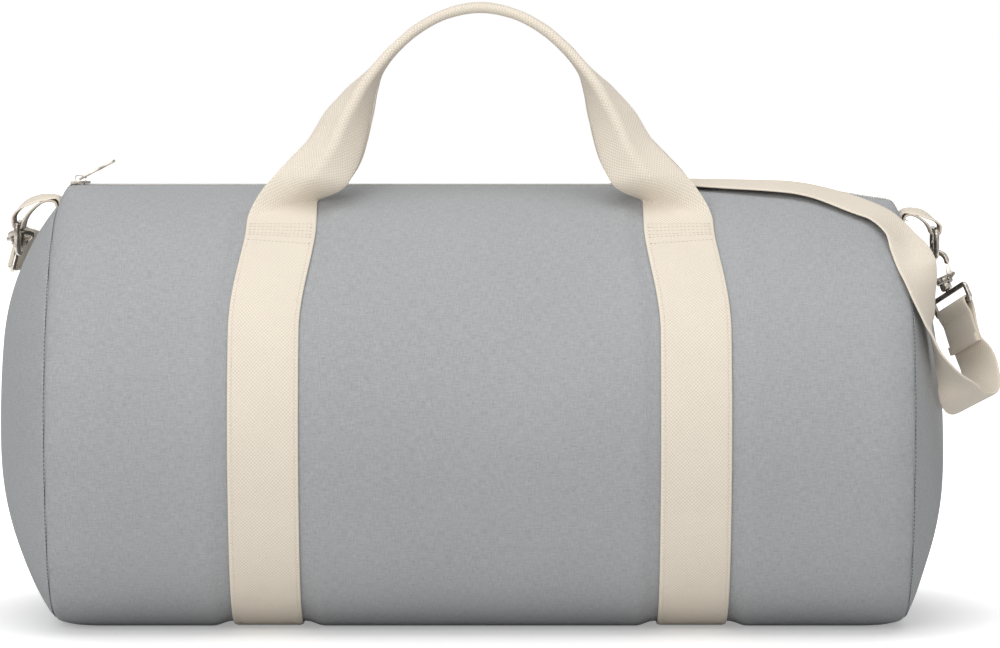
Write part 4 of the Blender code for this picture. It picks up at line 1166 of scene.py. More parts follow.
def make_band(side, label):
    """A webbing band round under the barrel, from one handle's foot to the other's."""
    first = math.radians(BAND_END_DEGREES)
    frames = [band_frame(side, angle) for angle in evenly(first, math.tau - first, BAND_STEPS)]
    band, length = ribbon("webbing_" + label, frames, WEBBING_WIDTH, WEBBING_THICK, "wide_webbing")
    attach(band, BAG)
    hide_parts("webbing_band_" + label)


def folded_section(turn, width, thick):
    """The webbing's section, flat or with both halves turned backwards behind its middle line.

    Each point has its place aside and forwards, its place across the flat cloth and its height over it.
    """
    half = width / 2
    line = []
    side = back = walked = 0.0
    for share in FOLD_SHARES:
        while walked < share * half - 1e-9:
            step = min(FOLD_STEP, share * half - walked)
            angle = turn * min(1.0, (walked + step / 2) / FOLD_RADIUS)
            side += math.cos(angle) * step
            back += math.sin(angle) * step
            walked += step
        angle = turn * min(1.0, walked / FOLD_RADIUS)
        line.append((side, back, math.sin(angle), math.cos(angle), walked, strip_height(thick, share)))
    line = [(a, back - b, c, d, u, high) for a, b, c, d, u, high in line]
    whole = [(-a, b, -c, d, -u, high) for a, b, c, d, u, high in reversed(line[1:])] + line
    front = [(a + c * high, b + d * high, u, high) for a, b, c, d, u, high in whole]
    rear = [(a - c * high, b - d * high, u, -high) for a, b, c, d, u, high in whole]
    return front + rear[-2:0:-1]


def handle_rows(facing):
    """A handle's middle line with its fold's shares, from the left foot to the right, and the right foot."""
    foot = body_point(band_offset(FOOT_ANGLE), FOOT_ANGLE, -GAP - WEBBING_THICK / 2)
    foot_y = abs(foot.y) - FOOT_GAP
    rows = []
    for degrees in FOOT_DEGREES:
        place = band_frame(RIGHT, facing * math.radians(degrees))[0]
        rows.append((*place, 0.0))
    for across, up, fold in HANDLE_SHARES:
        y = blend(foot_y, HANDLE_INSET, up)
        rows.append((across * foot.x, -facing * y, blend(foot.z + FOOT_GAP, HANDLE_TOP, up), fold))
    rows = [(-x, y, z, fold) for x, y, z, fold in rows] + rows[-2::-1]
    return smooth_rows(rows, HANDLE_STEP), foot


def held_point(facing, side, walked, wide, across_share, high):
    """Where a point of the handle lies while the foot is still held down on the barrel."""
    angle = facing * (math.radians(BAND_END_DEGREES) - walked / TOP_RADIUS)
    place, across, outward = band_frame(side, angle)
    if across.dot(wide) < 0:
        across = -across
    return place + across * (across_share * WEBBING_WIDTH / 2) + outward * high


def make_handle(facing, label):
    """One strip that leaves the barrel at two feet and is folded lengthwise at the grip."""
    rows, foot = handle_rows(facing)
    places = [Vector(row[:3]) for row in rows]
    walked = distances_along(places)
    distance = walked[-1]
    loops, spots = [], []
    for row, place, along, passed in zip(rows, places, path_ways(places), walked):
        rise = (place.z - foot.z) / (HANDLE_TOP - foot.z)
        lean = Vector((0.0, -facing, blend(*LEAN_SHARES, max(0.0, rise))))
        front = (lean - along * lean.dot(along)).normalized()
        level = Vector((facing * math.copysign(1.0, along.z), 0.0, 0.0))
        wide = level.lerp(along.cross(front), ease(rise, *FOOT_TURN_SHARES))
        wide = (wide - along * wide.dot(along)).normalized()
        front = wide.cross(along).normalized()
        side = math.copysign(1.0, place.x)
        from_end = min(passed, distance - passed)
        loop = []
        for a, b, u, high in folded_section(row[3] * GRIP_FOLD, WEBBING_WIDTH, WEBBING_THICK):
            across_share = u / (WEBBING_WIDTH / 2)
            inner = (1.0 - side * math.copysign(across_share, across_share * level.x)) / 2
            release = FOOT_LENGTH + FOOT_HOLD * inner
            free = place + wide * a + front * b
            if from_end < release + FOOT_RELEASE:
                held = held_point(facing, side, from_end, level, across_share, high)
                free = held.lerp(free, ease(from_end, release, release + FOOT_RELEASE))
            loop.append(free)
            spots.append((u, passed))
        loops.append(loop)
    handle = loft("handle_" + label, loops, "wide_webbing", places=spots)
    "handle_" + label
    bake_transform(handle)
    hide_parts("carry_handle_" + label)


# Zip


def crest_stations(end, count):
    """Places along the zip, closer together where it bends down to the end seams."""
    flat = [ZIP_HALF * (2 * step / count - 1.0) for step in range(count + 1)]
    steps = range(1, ZIP_BEND_STEPS + 1)
    bend = [ZIP_HALF + (end - ZIP_HALF) * step / ZIP_BEND_STEPS for step in steps]
    return [-x for x in reversed(bend)] + flat + bend


def crest_frame(x, lift):
    """A place above the zip line with the direction square to it."""
    step = 0.0003
    along = (body_point(x + step, 0.0) - body_point(x - step, 0.0)).normalized()
    outward = along.cross(Vector((0.0, 1.0, 0.0))).normalized()
    outward = outward if outward.z > 0 else -outward
    return body_point(x, 0.0) + outward * lift, outward


def make_zip_tapes():
    """A tape under each folded edge of the canvas, falling a little towards its outer side."""
    middle, width = (TAPE_EDGE + TAPE_REACH) / 2, TAPE_REACH - TAPE_EDGE
    for facing, label in FACINGS:
        frames = []
        for x in crest_stations(TAPE_END, TAPE_STEPS):
            place, outward = crest_frame(x, TAPE_TOP - BODY_HEIGHT - TAPE_THICK / 2 - TAPE_SINK)
            aside = Vector((0.0, -facing, 0.0))
            frames.append((place + aside * middle, aside, outward))
        tape, length = ribbon("zip_cloth_" + label, frames, width, TAPE_THICK, "zip_tape")
        for point in tape.data.vertices:
            off_level = max(0.0, abs(point.co.y) - SLOT_WIDTH / 2)
            point.co.z -= off_level * TAPE_SLOPE
        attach(tape, BAG)
        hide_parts("zip_tape_" + label)


def node_tree(name, inputs):
    """An empty geometry tree with named inputs."""
    tree = bpy.data.node_groups.new(name, "GeometryNodeTree")
    tree.interface.new_socket("Geometry", in_out="INPUT", socket_type="NodeSocketGeometry")
    for label, kind in inputs:
        tree.interface.new_socket(label, in_out="INPUT", socket_type=kind)
    tree.interface.new_socket("Geometry", in_out="OUTPUT", socket_type="NodeSocketGeometry")
    return tree


def bead_row_tree():
    """Small rounded beads at one pitch along each line of a mesh, each turned along its line."""
    sockets = [(label, "NodeSocketFloat") for label in BEAD_INPUTS] + [("Finish", "NodeSocketMaterial")]
    tree = node_tree("bead_rows", sockets)
    given = tree.nodes.new("NodeGroupInput").outputs

    def add(kind, links, **settings):
        return tree_node(tree, kind, settings, links).outputs[0]

    line = add("GeometryNodeMeshToCurve", {0: given["Geometry"]})
    spaced = add("GeometryNodeResampleCurve", {"Curve": line, "Length": given["Pitch"]}, mode="LENGTH")
    tangent = add("GeometryNodeInputTangent", {})
    turned = add("FunctionNodeAlignRotationToVector", {"Vector": tangent}, axis="X")
    bead = add("GeometryNodeMeshUVSphere", {"Segments": BEAD_SEGMENTS, "Rings": BEAD_RINGS, "Radius": 0.5})
    size = add("ShaderNodeCombineXYZ", {0: given["Length"], 1: given["Width"], 2: given["Height"]})
    shaped = add("GeometryNodeTransform", {"Geometry": bead, "Scale": size})
    links = {"Points": spaced, "Instance": shaped, "Rotation": turned}
    placed = add("GeometryNodeInstanceOnPoints", links)
    real = add("GeometryNodeRealizeInstances", {0: placed})
    soft = add("GeometryNodeSetShadeSmooth", {0: real})
    dressed = add("GeometryNodeSetMaterial", {"Geometry": soft, "Material": given["Finish"]})
    result = tree.nodes.new("NodeGroupOutput")
    tree.links.new(dressed, result.inputs[0])
    return tree


TREES = {}


def bead_rows(name, lines, values, finish):
    """Beads along lines of points, as one plain mesh. values are the pitch, length, width and height."""
    if "beads" not in TREES:
        TREES["beads"] = bead_row_tree()
    tree = TREES["beads"]
    points, edges = [], []
    for line in lines:
        first = len(points)
        points.extend(tuple(settled(Vector(point))) for point in line)
        edges.extend((first + index, first + index + 1) for index in range(len(line) - 1))
    guide = bpy.data.meshes.new(name + "_guide")
    guide.from_pydata(points, edges, [])
    holder = linked(name + "_guide", guide)
    modifier = holder.modifiers.new("beads", "NODES")
    modifier.node_group = tree
    wanted = dict(zip(BEAD_INPUTS, values))
    wanted["Finish"] = finish_of(finish)
    for socket in tree.interface.items_tree:
        if socket.in_out == "INPUT" and socket.name in wanted:
            modifier[socket.identifier] = wanted[socket.name]
    bpy.context.view_layer.update()
    graph = bpy.context.evaluated_depsgraph_get()
    mesh = bpy.data.meshes.new_from_object(holder.evaluated_get(graph))
    bpy.data.objects.remove(holder, do_unlink=True)
    mesh.name = name
    return linked(name, mesh)


def make_zip_coil():
    """The coil's two rows of turns, meshed by half a pitch."""
    pitch = sizes().coil_pitch
    values = (pitch, pitch * COIL_SHARE, COIL_WIDTH, CHAIN_HEIGHT)
    for facing, label in FACINGS:
        stations = crest_stations(COIL_END, COIL_STEPS)
        stations[0] += pitch / 2 if facing > 0 else 0.0
        away = Vector((0.0, -facing * COIL_OFFSET, 0.0))
        line = [crest_frame(x, TAPE_TOP + COIL_RISE - BODY_HEIGHT)[0] + away for x in stations]
        coil = bead_rows("zip_coil_" + label, [line], values, "coil")
        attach(coil, BAG)
        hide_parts("zip_chain_" + label)


def bevelled_copy(node, name, body, width):
    """A metal CAD node with its edges rounded."""
    work = bmesh.new()
    work.from_mesh(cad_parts[node].data)
    bmesh.ops.remove_doubles(work, verts=work.verts, dist=MERGE_DISTANCE)
    bmesh.ops.dissolve_limit(work, angle_limit=FLAT_ANGLE, verts=work.verts, edges=work.edges)
    mesh = bpy.data.meshes.new(name)
    work.to_mesh(mesh)
    work.free()
    mesh.shade_smooth()
    mesh.materials.append(finish_of("nickel"))
    made = linked(name, mesh)
    bevel = made.modifiers.new("rounded edges", "BEVEL")
    bevel.width = width
    bevel.segments = BEVEL_SEGMENTS
    bevel.limit_method = "ANGLE"
    bevel.angle_limit = BEVEL_ANGLE
    bevel.harden_normals = True
    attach(made, body)
    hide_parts(node)


# Rings, tabs and hooks


def wire_loops(places, axis, radii, closed):
    """Round sections of a wire whose middle line lies in a plane square to the axis."""
    loops = []
    count = len(places)
    turns = turns_round(sizes().wire_sides)
    for index, (place, radius) in enumerate(zip(places, radii)):
        if closed:
            along = places[(index + 1) % count] - places[index - 1]
        else:
            along = places[min(count - 1, index + 1)] - places[max(0, index - 1)]
        across = along.cross(axis).normalized()
        loops.append([place + (axis * math.cos(turn) + across * math.sin(turn)) * radius for turn in turns])
    return loops


def arc(across, up, wide, high, start, end, steps):
    """Points on part of an ellipse, in degrees."""
    turns = [math.radians(start + (end - start) * step / steps) for step in range(steps + 1)]
    return [(across + wide * math.cos(turn), up + high * math.sin(turn)) for turn in turns]


def ring_place(side):
    """The middle of the ring's straight bar."""
    seam_top = body_point(side * SEAM_HALF, 0.0)
    return Vector((side * (SEAM_HALF + RING_REACH[side]), 0.0, seam_top.z - RING_DROP[side]))


def make_ring(side, label):
    """A D-ring of round wire: its straight bar on top and a bow below."""
    half = (RING_INNER_WIDTH + RING_WIRE) / 2
    inner = half - RING_CORNER
    outline = arc(inner, -RING_CORNER, RING_CORNER, RING_CORNER, 90.0, 0.0, 7)
    outline += arc(0.0, -RING_SIDE, half, RING_DEPTH - RING_SIDE, 0.0, -180.0, 44)
    outline += arc(-inner, -RING_CORNER, RING_CORNER, RING_CORNER, 180.0, 90.0, 7)
    outline += [(-inner + 2 * inner * step / 6, 0.0) for step in range(1, 6)]
    bar = ring_place(side)
    places = [bar + Vector((0.0, a, b)) for a, b in outline]
    loops = wire_loops(places, Vector((1.0, 0.0, 0.0)), [RING_WIRE / 2] * len(places), True)
    ring = loft("ring_" + label, loops, "nickel", closed=True)
    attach(ring, "ring_" + label)
    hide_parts("d_ring_" + label)


def make_tab(side, label):
    """Two layers of webbing out of the top of the end seam, over to the ring and round its bar.

    The path's places are out from the seam and up from its top. It starts and ends inside the seam.
    """
    bar = ring_place(side)
    seam_top = settled(body_point(side * SEAM_HALF, 0.0))
    reach = abs(bar.x) - SEAM_HALF
    drop = seam_top.z - bar.z
    lower = GAP + TAB_THICK / 2
    upper = lower + TAB_THICK + TAB_LAYER_GAP
    turn = RING_WIRE / 2 + GAP + TAB_THICK / 2
    path = [(-TAB_THICK / 2, -SEAM_ROLL), (-TAB_THICK / 4, lower), (TAB_THICK * 1.2, upper)]
    path += [(reach * 0.3, upper), (reach * 0.56, upper * 0.8 - drop * 0.04), (reach * 0.88, -drop * 0.16)]
    path.append((reach + turn * 0.9, -drop * 0.62))
    for step in range(HALF_TURN_STEPS + 1):
        angle = -math.pi * step / HALF_TURN_STEPS
        path.append((reach + turn * math.cos(angle), -drop + turn * math.sin(angle)))
    path += [(reach * 0.8 - turn * 0.4, -drop * 0.55), (reach * 0.52, -drop * 0.12)]
    path += [(reach * 0.3, lower * 0.9), (TAB_THICK * 1.6, lower * 0.3), (TAB_THICK * 0.7, -SEAM_ROLL)]
    rows = smooth_rows([(a, 0.0, b) for a, b in path], TAB_THICK / 2)
    places = [Vector((side * (SEAM_HALF + a), 0.0, seam_top.z + c)) for a, _, c in rows]
    across = Vector((0.0, -side, 0.0))
    ways = path_ways(places)
    frames = [(place, across, way.cross(across).normalized()) for place, way in zip(places, ways)]
    shares = [step / (len(frames) - 1) for step in range(len(frames))]
    bows = [ease(share, *TAB_BOW_START) * (1.0 - ease(share, *TAB_BOW_END)) for share in shares]
    cambers = [-TAB_CAMBER * bow for bow in bows]
    tab, length = ribbon("tab_" + label, frames, TAB_WIDTH, TAB_THICK, "tab_webbing", cambers=cambers)
    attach(tab, BAG)
    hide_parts("end_tab_" + label)
    "d_ring_" + label


class Hook:
    """Where one snap hook sits. Down points from its curl to its eye, across to its gate."""

    def __init__(self, side):
        bar = ring_place(side)
        seat = CURL_INNER - RING_WIRE / 2 - HOOK_SEAT
        if side == RIGHT:
            self.down = RIGHT_HOOK_DIRECTION
            held = bar + Vector((0.0, 0.0, -RING_DEPTH))
            wire = Vector((0.0, 1.0, 0.0))
            bar_way = RIGHT_BAR_DIRECTION
        else:
            self.down = LEFT_HOOK_DIRECTION
            held = bar + Vector((0.0, (RING_INNER_WIDTH + RING_WIRE) / 2, -RING_SIDE))
            wire = Vector((0.0, 0.0, 1.0))
            bar_way = LEFT_BAR_DIRECTION
        self.middle = held + self.down * seat
        self.thick = (wire - self.down * wire.dot(self.down)).normalized()
        self.across = self.thick.cross(self.down)
        if self.across.x * side < 0:
            self.across = -self.across
        self.eye_across = (bar_way - self.down * bar_way.dot(self.down)).normalized()
        self.eye_thick = self.eye_across.cross(self.down)
        self.eye_bar = self.middle + self.down * EYE_BAR

    def place(self, across, down, thick=0.0):
        return self.middle + self.across * across + self.down * down + self.thick * thick

    def eye_place(self, across, down):
        return self.middle + self.eye_across * across + self.down * down

    def ring_at(self, down, radius, sides):
        """A circle round the hook's own axis."""
        middle = self.middle + self.down * down
        ways = [self.across * math.cos(turn) + self.thick * math.sin(turn) for turn in turns_round(sides)]
        return [middle + way * radius for way in ways]


def rounded_block(name, hook, left, right, top, base, near, far, radius):
    """A box with rounded long edges in a hook's own directions."""
    middle_across, middle_thick = (left + right) / 2, (near + far) / 2
    wide, deep = (right - left) / 2, (far - near) / 2
    outline = []
    for start, sign_a, sign_c in ((0.0, 1, 1), (90.0, -1, 1), (180.0, -1, -1), (270.0, 1, -1)):
        corner = sign_a * (wide - radius), sign_c * (deep - radius)
        outline += arc(*corner, radius, radius, start, start + 90.0, 4)
    loops = []
    downs = [(top + radius * a, radius * b) for a, b in ROUND_ROWS]
    downs += [(base - radius * a, radius * b) for a, b in reversed(ROUND_ROWS)]
    for down, shrink in downs:
        wide_share, deep_share = 1.0 - shrink / wide, 1.0 - shrink / deep
        section = [(middle_across + a * wide_share, middle_thick + c * deep_share) for a, c in outline]
        loops.append([hook.place(a, down, c) for a, c in section])
    return loft(name, loops, "nickel")


def make_curl(label, hook):
    """The hook's bent wire, from inside its block round to its rounded tip."""
    bow = CURL_INNER + CURL_WIRE / 2
    path = [(-0.40 * bow, HOOK_BLOCK_BASE - CURL_WIRE / 2), (-0.62 * bow, HOOK_BLOCK_TOP + CURL_WIRE * 0.3)]
    path += [(-0.84 * bow, HOOK_BLOCK_TOP - CURL_WIRE / 2), (-0.98 * bow, bow * 0.5)]
    path += arc(0.0, 0.0, bow, -bow, 180.0, -14.0, 30)
    radii = [CURL_WIRE / 2] * len(path)
    last_a, last_b = path[-1]
    before_a, before_b = path[-2]
    step = math.hypot(last_a - before_a, last_b - before_b)
    way = ((last_a - before_a) / step, (last_b - before_b) / step)
    for share in TIP_SHARES:
        reach = share * CURL_WIRE / 2
        path.append((last_a + way[0] * reach, last_b + way[1] * reach))
        radii.append(CURL_WIRE / 2 * math.sqrt(1.0 - share * share))
    loops = wire_loops([hook.place(a, b) for a, b in path], hook.thick, radii, False)
    return loft("hook_" + label, loops, "nickel")


def make_hook_body(label, hook):
    """The curl, the forked block that holds the gate and the barrel in which the eye turns."""
    curl = make_curl(label, hook)
    half, slot = HOOK_BLOCK_THICK / 2, HOOK_SLOT / 2
    whole = (-HOOK_BLOCK_LEFT, HOOK_BLOCK_RIGHT, HOOK_BLOCK_TOP, HOOK_BLOCK_BASE)
    behind_slot = (-HOOK_BLOCK_LEFT, HOOK_SLOT_LEFT, HOOK_BLOCK_TOP, HOOK_BLOCK_BASE)
    blocks = [
        rounded_block("cheek", hook, *whole, -half, -slot, CHEEK_ROUND),
        rounded_block("cheek", hook, *whole, slot, half, CHEEK_ROUND),
        rounded_block("web", hook, *behind_slot, -half, half, WEB_ROUND),
    ]
    radius = HOOK_BARREL_WIDTH / 2
    rows = [(HOOK_BLOCK_BASE + down, radius * share) for down, share in BARREL_ROWS]
    loops = [hook.ring_at(down, wide, BARREL_SIDES) for down, wide in rows]
    body = join_pieces(curl, *blocks, loft("barrel", loops, "nickel"))
    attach(body, "hook_" + label)
    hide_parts("hook_body_" + label)


def make_hook_eye(label, hook):
    """A wire eye for the strap, with the stem and head on which it swivels."""
    corner = EYE_CORNER
    inner = (EYE_INNER_WIDTH + EYE_WIRE) / 2 - corner
    outline = arc(inner, EYE_TOP + corner, corner, corner, -90.0, 0.0, 6)
    outline += arc(inner, EYE_BAR - corner, corner, corner, 0.0, 90.0, 6)
    outline += arc(-inner, EYE_BAR - corner, corner, corner, 90.0, 180.0, 6)
    outline += arc(-inner, EYE_TOP + corner, corner, corner, 180.0, 270.0, 6)
    places = [hook.eye_place(a, b) for a, b in outline]
    loops = wire_loops(places, hook.eye_thick, [EYE_WIRE / 2] * len(places), True)
    eye = loft("eye_" + label, loops, "nickel", closed=True)
    stem = loft("stem", [hook.ring_at(down, radius, STEM_SIDES) for down, radius in STEM_ROWS], "nickel")
    eye = join_pieces(eye, stem)
    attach(eye, "strap_hang_" + label)
    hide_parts("hook_eye_" + label)


def make_hook_pin(label, hook):
    """The gate's pin with a low round head at each end."""
    half = HOOK_BLOCK_THICK / 2
    rows = [(-half - out, radius) for out, radius in PIN_ROWS]
    rows += [(-thick, radius) for thick, radius in reversed(rows)]
    ways = [(math.cos(turn), math.sin(turn)) for turn in turns_round(PIN_SIDES)]
    loops = []
    for thick, radius in rows:
        circle = [(GATE_PIVOT_ACROSS + radius * a, GATE_PIVOT_DOWN + radius * b) for a, b in ways]
        loops.append([hook.place(a, b, thick) for a, b in circle])
    pin = loft("pin_" + label, loops, "nickel")
    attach(pin, "hook_" + label)
    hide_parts("hook_pin_" + label)


# Shoulder strap


def barrel_row(x, degrees, lift):
    """A place above the barrel, and the direction square to it."""
    angle = math.radians(degrees)
    nudge, step = math.radians(0.75), 0.00045
    around = body_point(x, angle + nudge, 0.0, False) - body_point(x, angle - nudge, 0.0, False)
    along = body_point(x + step, angle, 0.0, False) - body_point(x - step, angle, 0.0, False)
    outward = around.cross(along).normalized()
    return body_point(x, angle, 0.0, False) + outward * lift, outward


def seam_row(side, degrees, lift):
    """A place over an end seam, facing half along the barrel and half along the end panel."""
    barrel_normal = barrel_row(side * SEAM_HALF, degrees, lift)[1]
    point, dome_normal = dome_point(side, 1.0, math.radians(degrees))
    outward = (barrel_normal + dome_normal).normalized()
    return point + outward * lift, outward


def wrap_rows(bar, away, near):
    """The strap round an eye's bar. away is where both layers lead, near the side of the first layer."""
    radius = EYE_WIRE / 2 + GAP + STRAP_THICK / 2
    rows = [bar + away * (radius * 1.1) + near * (radius * 0.96)]
    for step in range(HALF_TURN_STEPS + 1):
        turn = math.pi * step / HALF_TURN_STEPS
        rows.append(bar + near * (radius * math.cos(turn)) - away * (radius * math.sin(turn)))
    rows.append(bar + away * (radius * 1.1) - near * (radius * 0.96))
    return rows


def right_strap_rows():
    """The strap's sewn tail, its turn round the right eye and its hanging loop."""
    layer = STRAP_THICK / 2 + GAP / 2
    hook = Hook(RIGHT)
    edge, bar = hook.eye_across, hook.eye_bar
    face = hook.down.cross(edge)
    hang = RIGHT_STRAP_DIRECTION * STRAP_TAIL
    lead = hook.down * STRAP_LEAD
    places = [bar + hang + face * layer, bar + hang * 0.6 + face * layer, bar + lead + face * (1.7 * layer)]
    places += wrap_rows(bar, hook.down, face)
    places += [bar + lead - face * (1.7 * layer), bar + hang * 0.6 - face * layer, bar + hang - face * layer]
    rows = [(place, edge, "edge") for place in places]
    rows += [(bar + Vector(shares) * STRAP_LOOP, Vector(near), "edge") for shares, near in LOOP_SHARES]
    return rows


def laid_strap_rows():
    """The strap over the bag's top, behind the bag and on to the left end."""
    lift = 1.5 * GAP + STRAP_THICK / 2
    rows = []
    for share, degrees in OVER_TOP_SHARES:
        raised = STRAP_ZIP_LIFT * (1.0 - ease(abs(degrees), *ZIP_LIFT_DEGREES))
        raised = max(raised, SEAM_LIFT * ease(abs(share), *SEAM_LIFT_SHARES))
        rows.append((*barrel_row(share * SEAM_HALF, degrees, lift + raised), "face"))
    rows.append((*seam_row(LEFT, LEFT_SEAM_ANGLE, lift + SEAM_LIFT), "face"))
    for share, degrees, off in LEFT_DOME_SHARES:
        rows.append((*dome_point(LEFT, share, math.radians(degrees), lift + off * RING_REACH[LEFT]), "face"))
    return rows


def strap_controls():
    """Every place of the strap with its near edge or its outward direction, from the right end to the left.

    The cuts are the rows where one piece of the strap ends, and the row under the adjuster's middle bar.
    """
    rows = right_strap_rows()
    right_cut = len(rows) - len(LOOP_SHARES) + RIGHT_CUT_ROW
    first_top = len(rows)
    rows += laid_strap_rows()
    left_cut = len(rows) - 2
    last_in = len(rows)
    left = Hook(LEFT)
    away = rows[-1][0] - left.eye_bar
    away = (away - left.eye_across * away.dot(left.eye_across)).normalized()
    outward = left.eye_across.cross(away)
    edge = outward.cross(-away)
    left_wrap = wrap_rows(left.eye_bar, away, -outward)
    rows += [(place, edge, "edge") for place in left_wrap]
    for index in range(last_in - 1, first_top + ADJUSTER_ROW - 1, -1):
        place, normal, _ = rows[index]
        spread = RETURN_SPREAD * max(0, index - last_in + 3) / 2
        rows.append((place + normal * (RETURN_LIFT + spread), -normal, "face"))
    return_cut = last_in + len(left_wrap) + (last_in - 1 - left_cut)
    return rows, (right_cut, left_cut, return_cut, first_top + ADJUSTER_ROW)


def strap_curve():
    """The strap's middle line and the distances of its cuts.

    The line is its places, directions of travel, outward directions and distances.
    """
    rows, cuts = strap_controls()
    rough_ways = path_ways([row[0] for row in rows])
    values = []
    for (place, way, kind), along in zip(rows, rough_ways):
        outward = along.cross(way).normalized() if kind == "edge" else way
        values.append((*place, *outward))
    fine = smooth_rows(values, CURVE_STEP)
    places = [Vector(row[:3]) for row in fine]
    facing = [Vector(row[3:]).normalized() for row in fine]
    distances = distances_along(places)
    marks = []
    for cut in cuts:
        nearest = min(range(len(places)), key=lambda index: (places[index] - rows[cut][0]).length)
        marks.append(distances[nearest])
    return (places, path_ways(places), facing, distances), marks


def weave_lift(offset):
    """How far the strap climbs at a distance from the adjuster's middle bar."""
    top = ADJUSTER_THICK + STRAP_THICK + 5 * GAP
    start, end = ADJUSTER_BAR / 2 + STRAP_THICK * 0.3, ADJUSTER_LENGTH / 2 - ADJUSTER_BAR - GAP
    return top * (1.0 - ease(abs(offset), start, end))


def strap_frames(curve, start, end, woven_at=None):
    """The strap's frames between two distances along it."""
    places, ways, facing, distances = curve
    frames = []
    last = None
    for place, along, outward, distance in zip(places, ways, facing, distances):
        if not start <= distance <= end or (last is not None and distance - last < STRAP_STEP):
            continue
        last = distance
        across = outward.cross(along).normalized()
        outward = along.cross(across).normalized()
        if woven_at is not None:
            place = place + outward * weave_lift(distance - woven_at)
        frames.append((place, across, outward))
    return frames


def make_strap():
    """The strap as one run of webbing in four stretches, and the folded hem at its right end."""
    curve, (right_cut, left_cut, return_cut, adjuster_at) = strap_curve()
    end = curve[3][-1] - ADJUSTER_LENGTH / 2 - RETURN_STOP
    stretches = (
        ("strap_right", 0.0, right_cut, None, "strap_end_right", "hung", ["hook_eye_right"]),
        ("strap_long", right_cut, left_cut, adjuster_at, "shoulder_strap", "laid", ["canvas_barrel"]),
        ("strap_left", left_cut, return_cut, None, "strap_end_left", "hung", ["hook_eye_left"]),
        ("strap_second_layer", return_cut, end, None, "strap_return", "laid", ["strap_long"]),
    )
    for name, start, stop, woven_at, node, held, rests_on in stretches:
        frames = strap_frames(curve, start - CUT_LAP, stop + CUT_LAP, woven_at)
        piece, length = ribbon(name, frames, STRAP_WIDTH, STRAP_THICK, "strap_webbing", start)
        if name in STRAP_BLENDS:
            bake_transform(piece)
        else:
            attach(piece, BAG)
        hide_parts(node)
    frames = strap_frames(curve, 0.0, HEM_FOLD)
    near = -math.copysign(STRAP_THICK * 0.95, frames[0][2].y)
    lifted = [(place + outward * near, across, outward) for place, across, outward in frames]
    hem, _ = ribbon("strap_hem", lifted, STRAP_WIDTH * 0.995, STRAP_THICK * 1.1, "strap_webbing")
    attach(hem, "strap_hang_right")
    return curve


# Stitching


def stitch(name, lines, body, finish="thread", share=1.0):
    """Rows of stitches along lines of points, on one body."""
    wide = sizes().thread_width * share
    values = (sizes().stitch_pitch * share, sizes().stitch_length * share, wide, wide * 0.8)
    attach(bead_rows(name, lines, values, finish), body)


def band_edge_lines(side):
    """Both rows of stitches along a band, just inside its selvedges."""
    lines = []
    first = math.radians(BAND_END_DEGREES + 1.0)
    inset = WEBBING_WIDTH / 2 - SELVEDGE_INSET
    for edge in (-1, 1):
        line = []
        for angle in evenly(first, math.tau - first, BAND_STEPS):
            place, across, outward = band_frame(side, angle)
            line.append(place + across * (edge * inset) + outward * (WEBBING_THICK / 2))
        lines.append(line)
    return lines


def foot_lines(side, facing):
    """Rows of stitches across the webbing where a handle's foot is sewn to the barrel."""
    half = WEBBING_WIDTH / 2 - FOOT_INSET
    lines = []
    for degrees in FOOT_STITCH_DEGREES:
        place, across, outward = band_frame(side, facing * math.radians(degrees))
        lift = outward * (WEBBING_THICK / 2)
        lines.append([place + across * (half * (step / 6 - 1.0)) + lift for step in range(13)])
    return lines


def seam_lines(side):
    """The row of stitches that shows in the ditch of an end seam."""
    line = []
    for angle in evenly(SEAM_STITCH_START, math.tau - SEAM_STITCH_START, SEAM_STITCH_STEPS):
        line.append(body_point(side * SEAM_HALF, angle, SEAM_DITCH) + Vector((side * GAP / 2, 0.0, 0.0)))
    return [line]


def zip_edge_lines():
    """A row of stitches in the groove of each folded edge."""
    lines = []
    angle = SLOT_ANGLE + HEM_GROOVE / TOP_RADIUS
    half = ZIP_HALF - ZIP_STITCH_INSET
    for facing, _ in FACINGS:
        stations = evenly(-half, half, ZIP_STITCH_STEPS)
        lines.append([barrel_frame(x, facing * angle, ZIP_STITCH_RISE)[0] for x in stations])
    return lines


def strap_tail_lines(curve):
    """A box of stitches through both layers behind the strap's hem."""
    lines = []
    for start in TAIL_STITCHES:
        place, across, outward = strap_frames(curve, start, start + 2 * STRAP_STEP)[0]
        lift = -math.copysign(STRAP_THICK * (1.5 if start < HEM_FOLD else 0.5), outward.y)
        raised = outward * lift
        lines.append([place + across * (TAIL_STITCH_HALF * step / 4) + raised for step in range(-4, 5)])
    return lines


def tab_lines(side):
    """The row of stitches across a tab's two layers, just outside the seam."""
    seam_top = settled(body_point(side * SEAM_HALF, 0.0))
    x = side * (SEAM_HALF + TAB_STITCH_OUT)
    z = seam_top.z + GAP + TAB_THICK * 2 + TAB_LAYER_GAP
    return [[Vector((x, TAB_STITCH_HALF * step / 4, z)) for step in range(-4, 5)]]


# Operators


class BAG_OT_canvas(bpy.types.Operator):
    """Builds the canvas barrel, its two domed ends and the bindings inside the seams"""

    bl_idname = "sports_bag.canvas"
    bl_label = "Canvas Body"

    def execute(self, context):
        make_canvas_barrel()
        for side, label in SIDES:
            make_canvas_end(side, label)
            make_binding(side, label)
        return {"FINISHED"}


class BAG_OT_webbing(bpy.types.Operator):
    """Builds the two webbing bands and the carrying handles"""

    bl_idname = "sports_bag.webbing"
    bl_label = "Bands and Handles"

    def execute(self, context):
        for side, label in SIDES:
            make_band(side, label)
        for facing, label in FACINGS:
            make_handle(facing, label)
        return {"FINISHED"}


